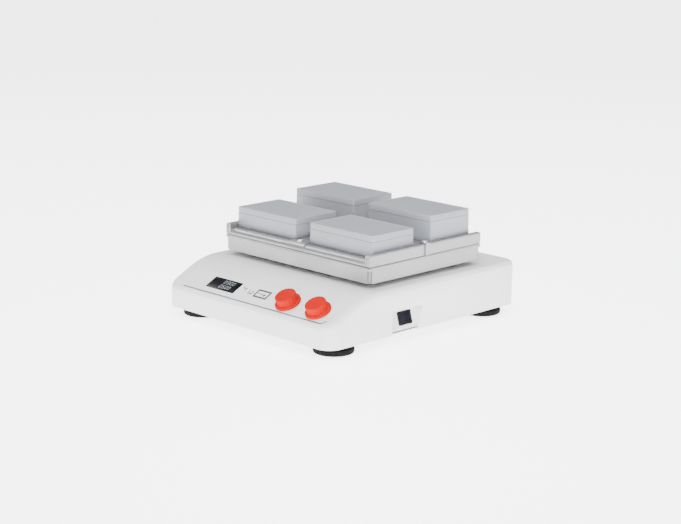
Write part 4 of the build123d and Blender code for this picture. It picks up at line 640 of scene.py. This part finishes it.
FRAME_W, FRAME_H, FRAME_STROKE, FRAME_CORNER_R = 28 * MM, 17.5 * MM, 3.4 * MM, 1.2 * MM
FRAME_X, FRAME_S = 9.6 * MM, 31.3 * MM
key_frame = block("key_frame", (FRAME_W, FRAME_H, PRINT))
pick(key_frame, "FACE", lambda middle, face: abs(face.normal.z) > 0.9)
inset(FRAME_STROKE)
bpy.ops.mesh.delete(type="FACE")
edge_round(key_frame, upright, FRAME_CORNER_R)
close_up(key_frame)
marks = [on_console(key_frame, FRAME_X, FRAME_S, FILM_TOP + PRINT / 2)]

# Each mark: place across, place up the slope, width and height, in millimetres
MARK_ROUND = 0.4 * MM
for x, s, width, height in (
    (6.5, 31.3, 9.0, 1.8), (14.5, 30.0, 4.4, 4.4), (-29.5, 34.6, 8.5, 2.0), (-26.5, 30.6, 4.2, 2.0),
    (-14.0, 26.8, 9.0, 2.0), (-9.6, 30.6, 2.0, 5.2), (-17.0, 31.2, 2.0, 4.2),
):
    mark = block("small_mark", (width * MM, height * MM, PRINT))
    edge_round(mark, upright, MARK_ROUND, 2)
    close_up(mark)
    marks.append(on_console(mark, x * MM, s * MM, FILM_TOP + PRINT / 2))
fit(joined(marks, "film_marks"), "base", "overlay", print_grey)

# Studio: a pale floor, an even surround, and soft lights behind the camera, over the near corner, above, and
# at the far left and rear, whose reflections draw a bright line along the bent edges
FLOOR_SIZE, FLOOR_DROP, FLOOR_GLOW, SURROUND = 30.0, 0.2 * MM, 3.8, 0.45
bpy.ops.object.select_all(action="DESELECT")
bpy.ops.mesh.primitive_plane_add(size=FLOOR_SIZE, location=(0, 0, -FLOOR_DROP))
floor = bpy.context.object
floor.name = "studio_floor"
floor_paint = Paint("studio_floor")
floor_paint.done(
    Base_Color=floor_paint.tint(floor_paint.noise(2.0), (0.93, 0.93, 0.93), (0.95, 0.95, 0.95)),
    Roughness=0.9, Emission_Color=(1, 1, 1, 1), Emission_Strength=FLOOR_GLOW,
)
floor.data.materials.append(floor_paint.material)

world = bpy.data.worlds.new("studio")
bpy.context.scene.world = world
world.use_nodes = True
world.node_tree.nodes["Background"].inputs["Color"].default_value = (1, 1, 1, 1)
world.node_tree.nodes["Background"].inputs["Strength"].default_value = SURROUND


def soft_light(name, place, target, size, power):
    lamp_data = bpy.data.lights.new(name, "AREA")
    lamp_data.size = size
    lamp_data.energy = power
    lamp = bpy.data.objects.new(name, lamp_data)
    bpy.context.scene.collection.objects.link(lamp)
    direction = Vector(target) - Vector(place)
    turn = direction.to_track_quat("-Z", "Y")
    lamp.matrix_world = Matrix.Translation(place) @ turn.to_matrix().to_4x4()


soft_light("front", (2.35, -2.35, 1.0), (0, 0, 0.06), 0.8, 95.0)
soft_light("key", (0.62, -0.62, 0.82), (0.1, -0.1, 0.08), 0.35, 9.0)
soft_light("top", (-0.3, 0.2, 2.6), (0, 0, 0.05), 2.2, 66.0)
soft_light("left_edge", (-1.7, -0.5, 1.7), (0, 0, 0.1), 0.6, 20.0)
soft_light("rear_edge", (0.5, 1.7, 1.7), (0, 0, 0.1), 0.6, 20.0)
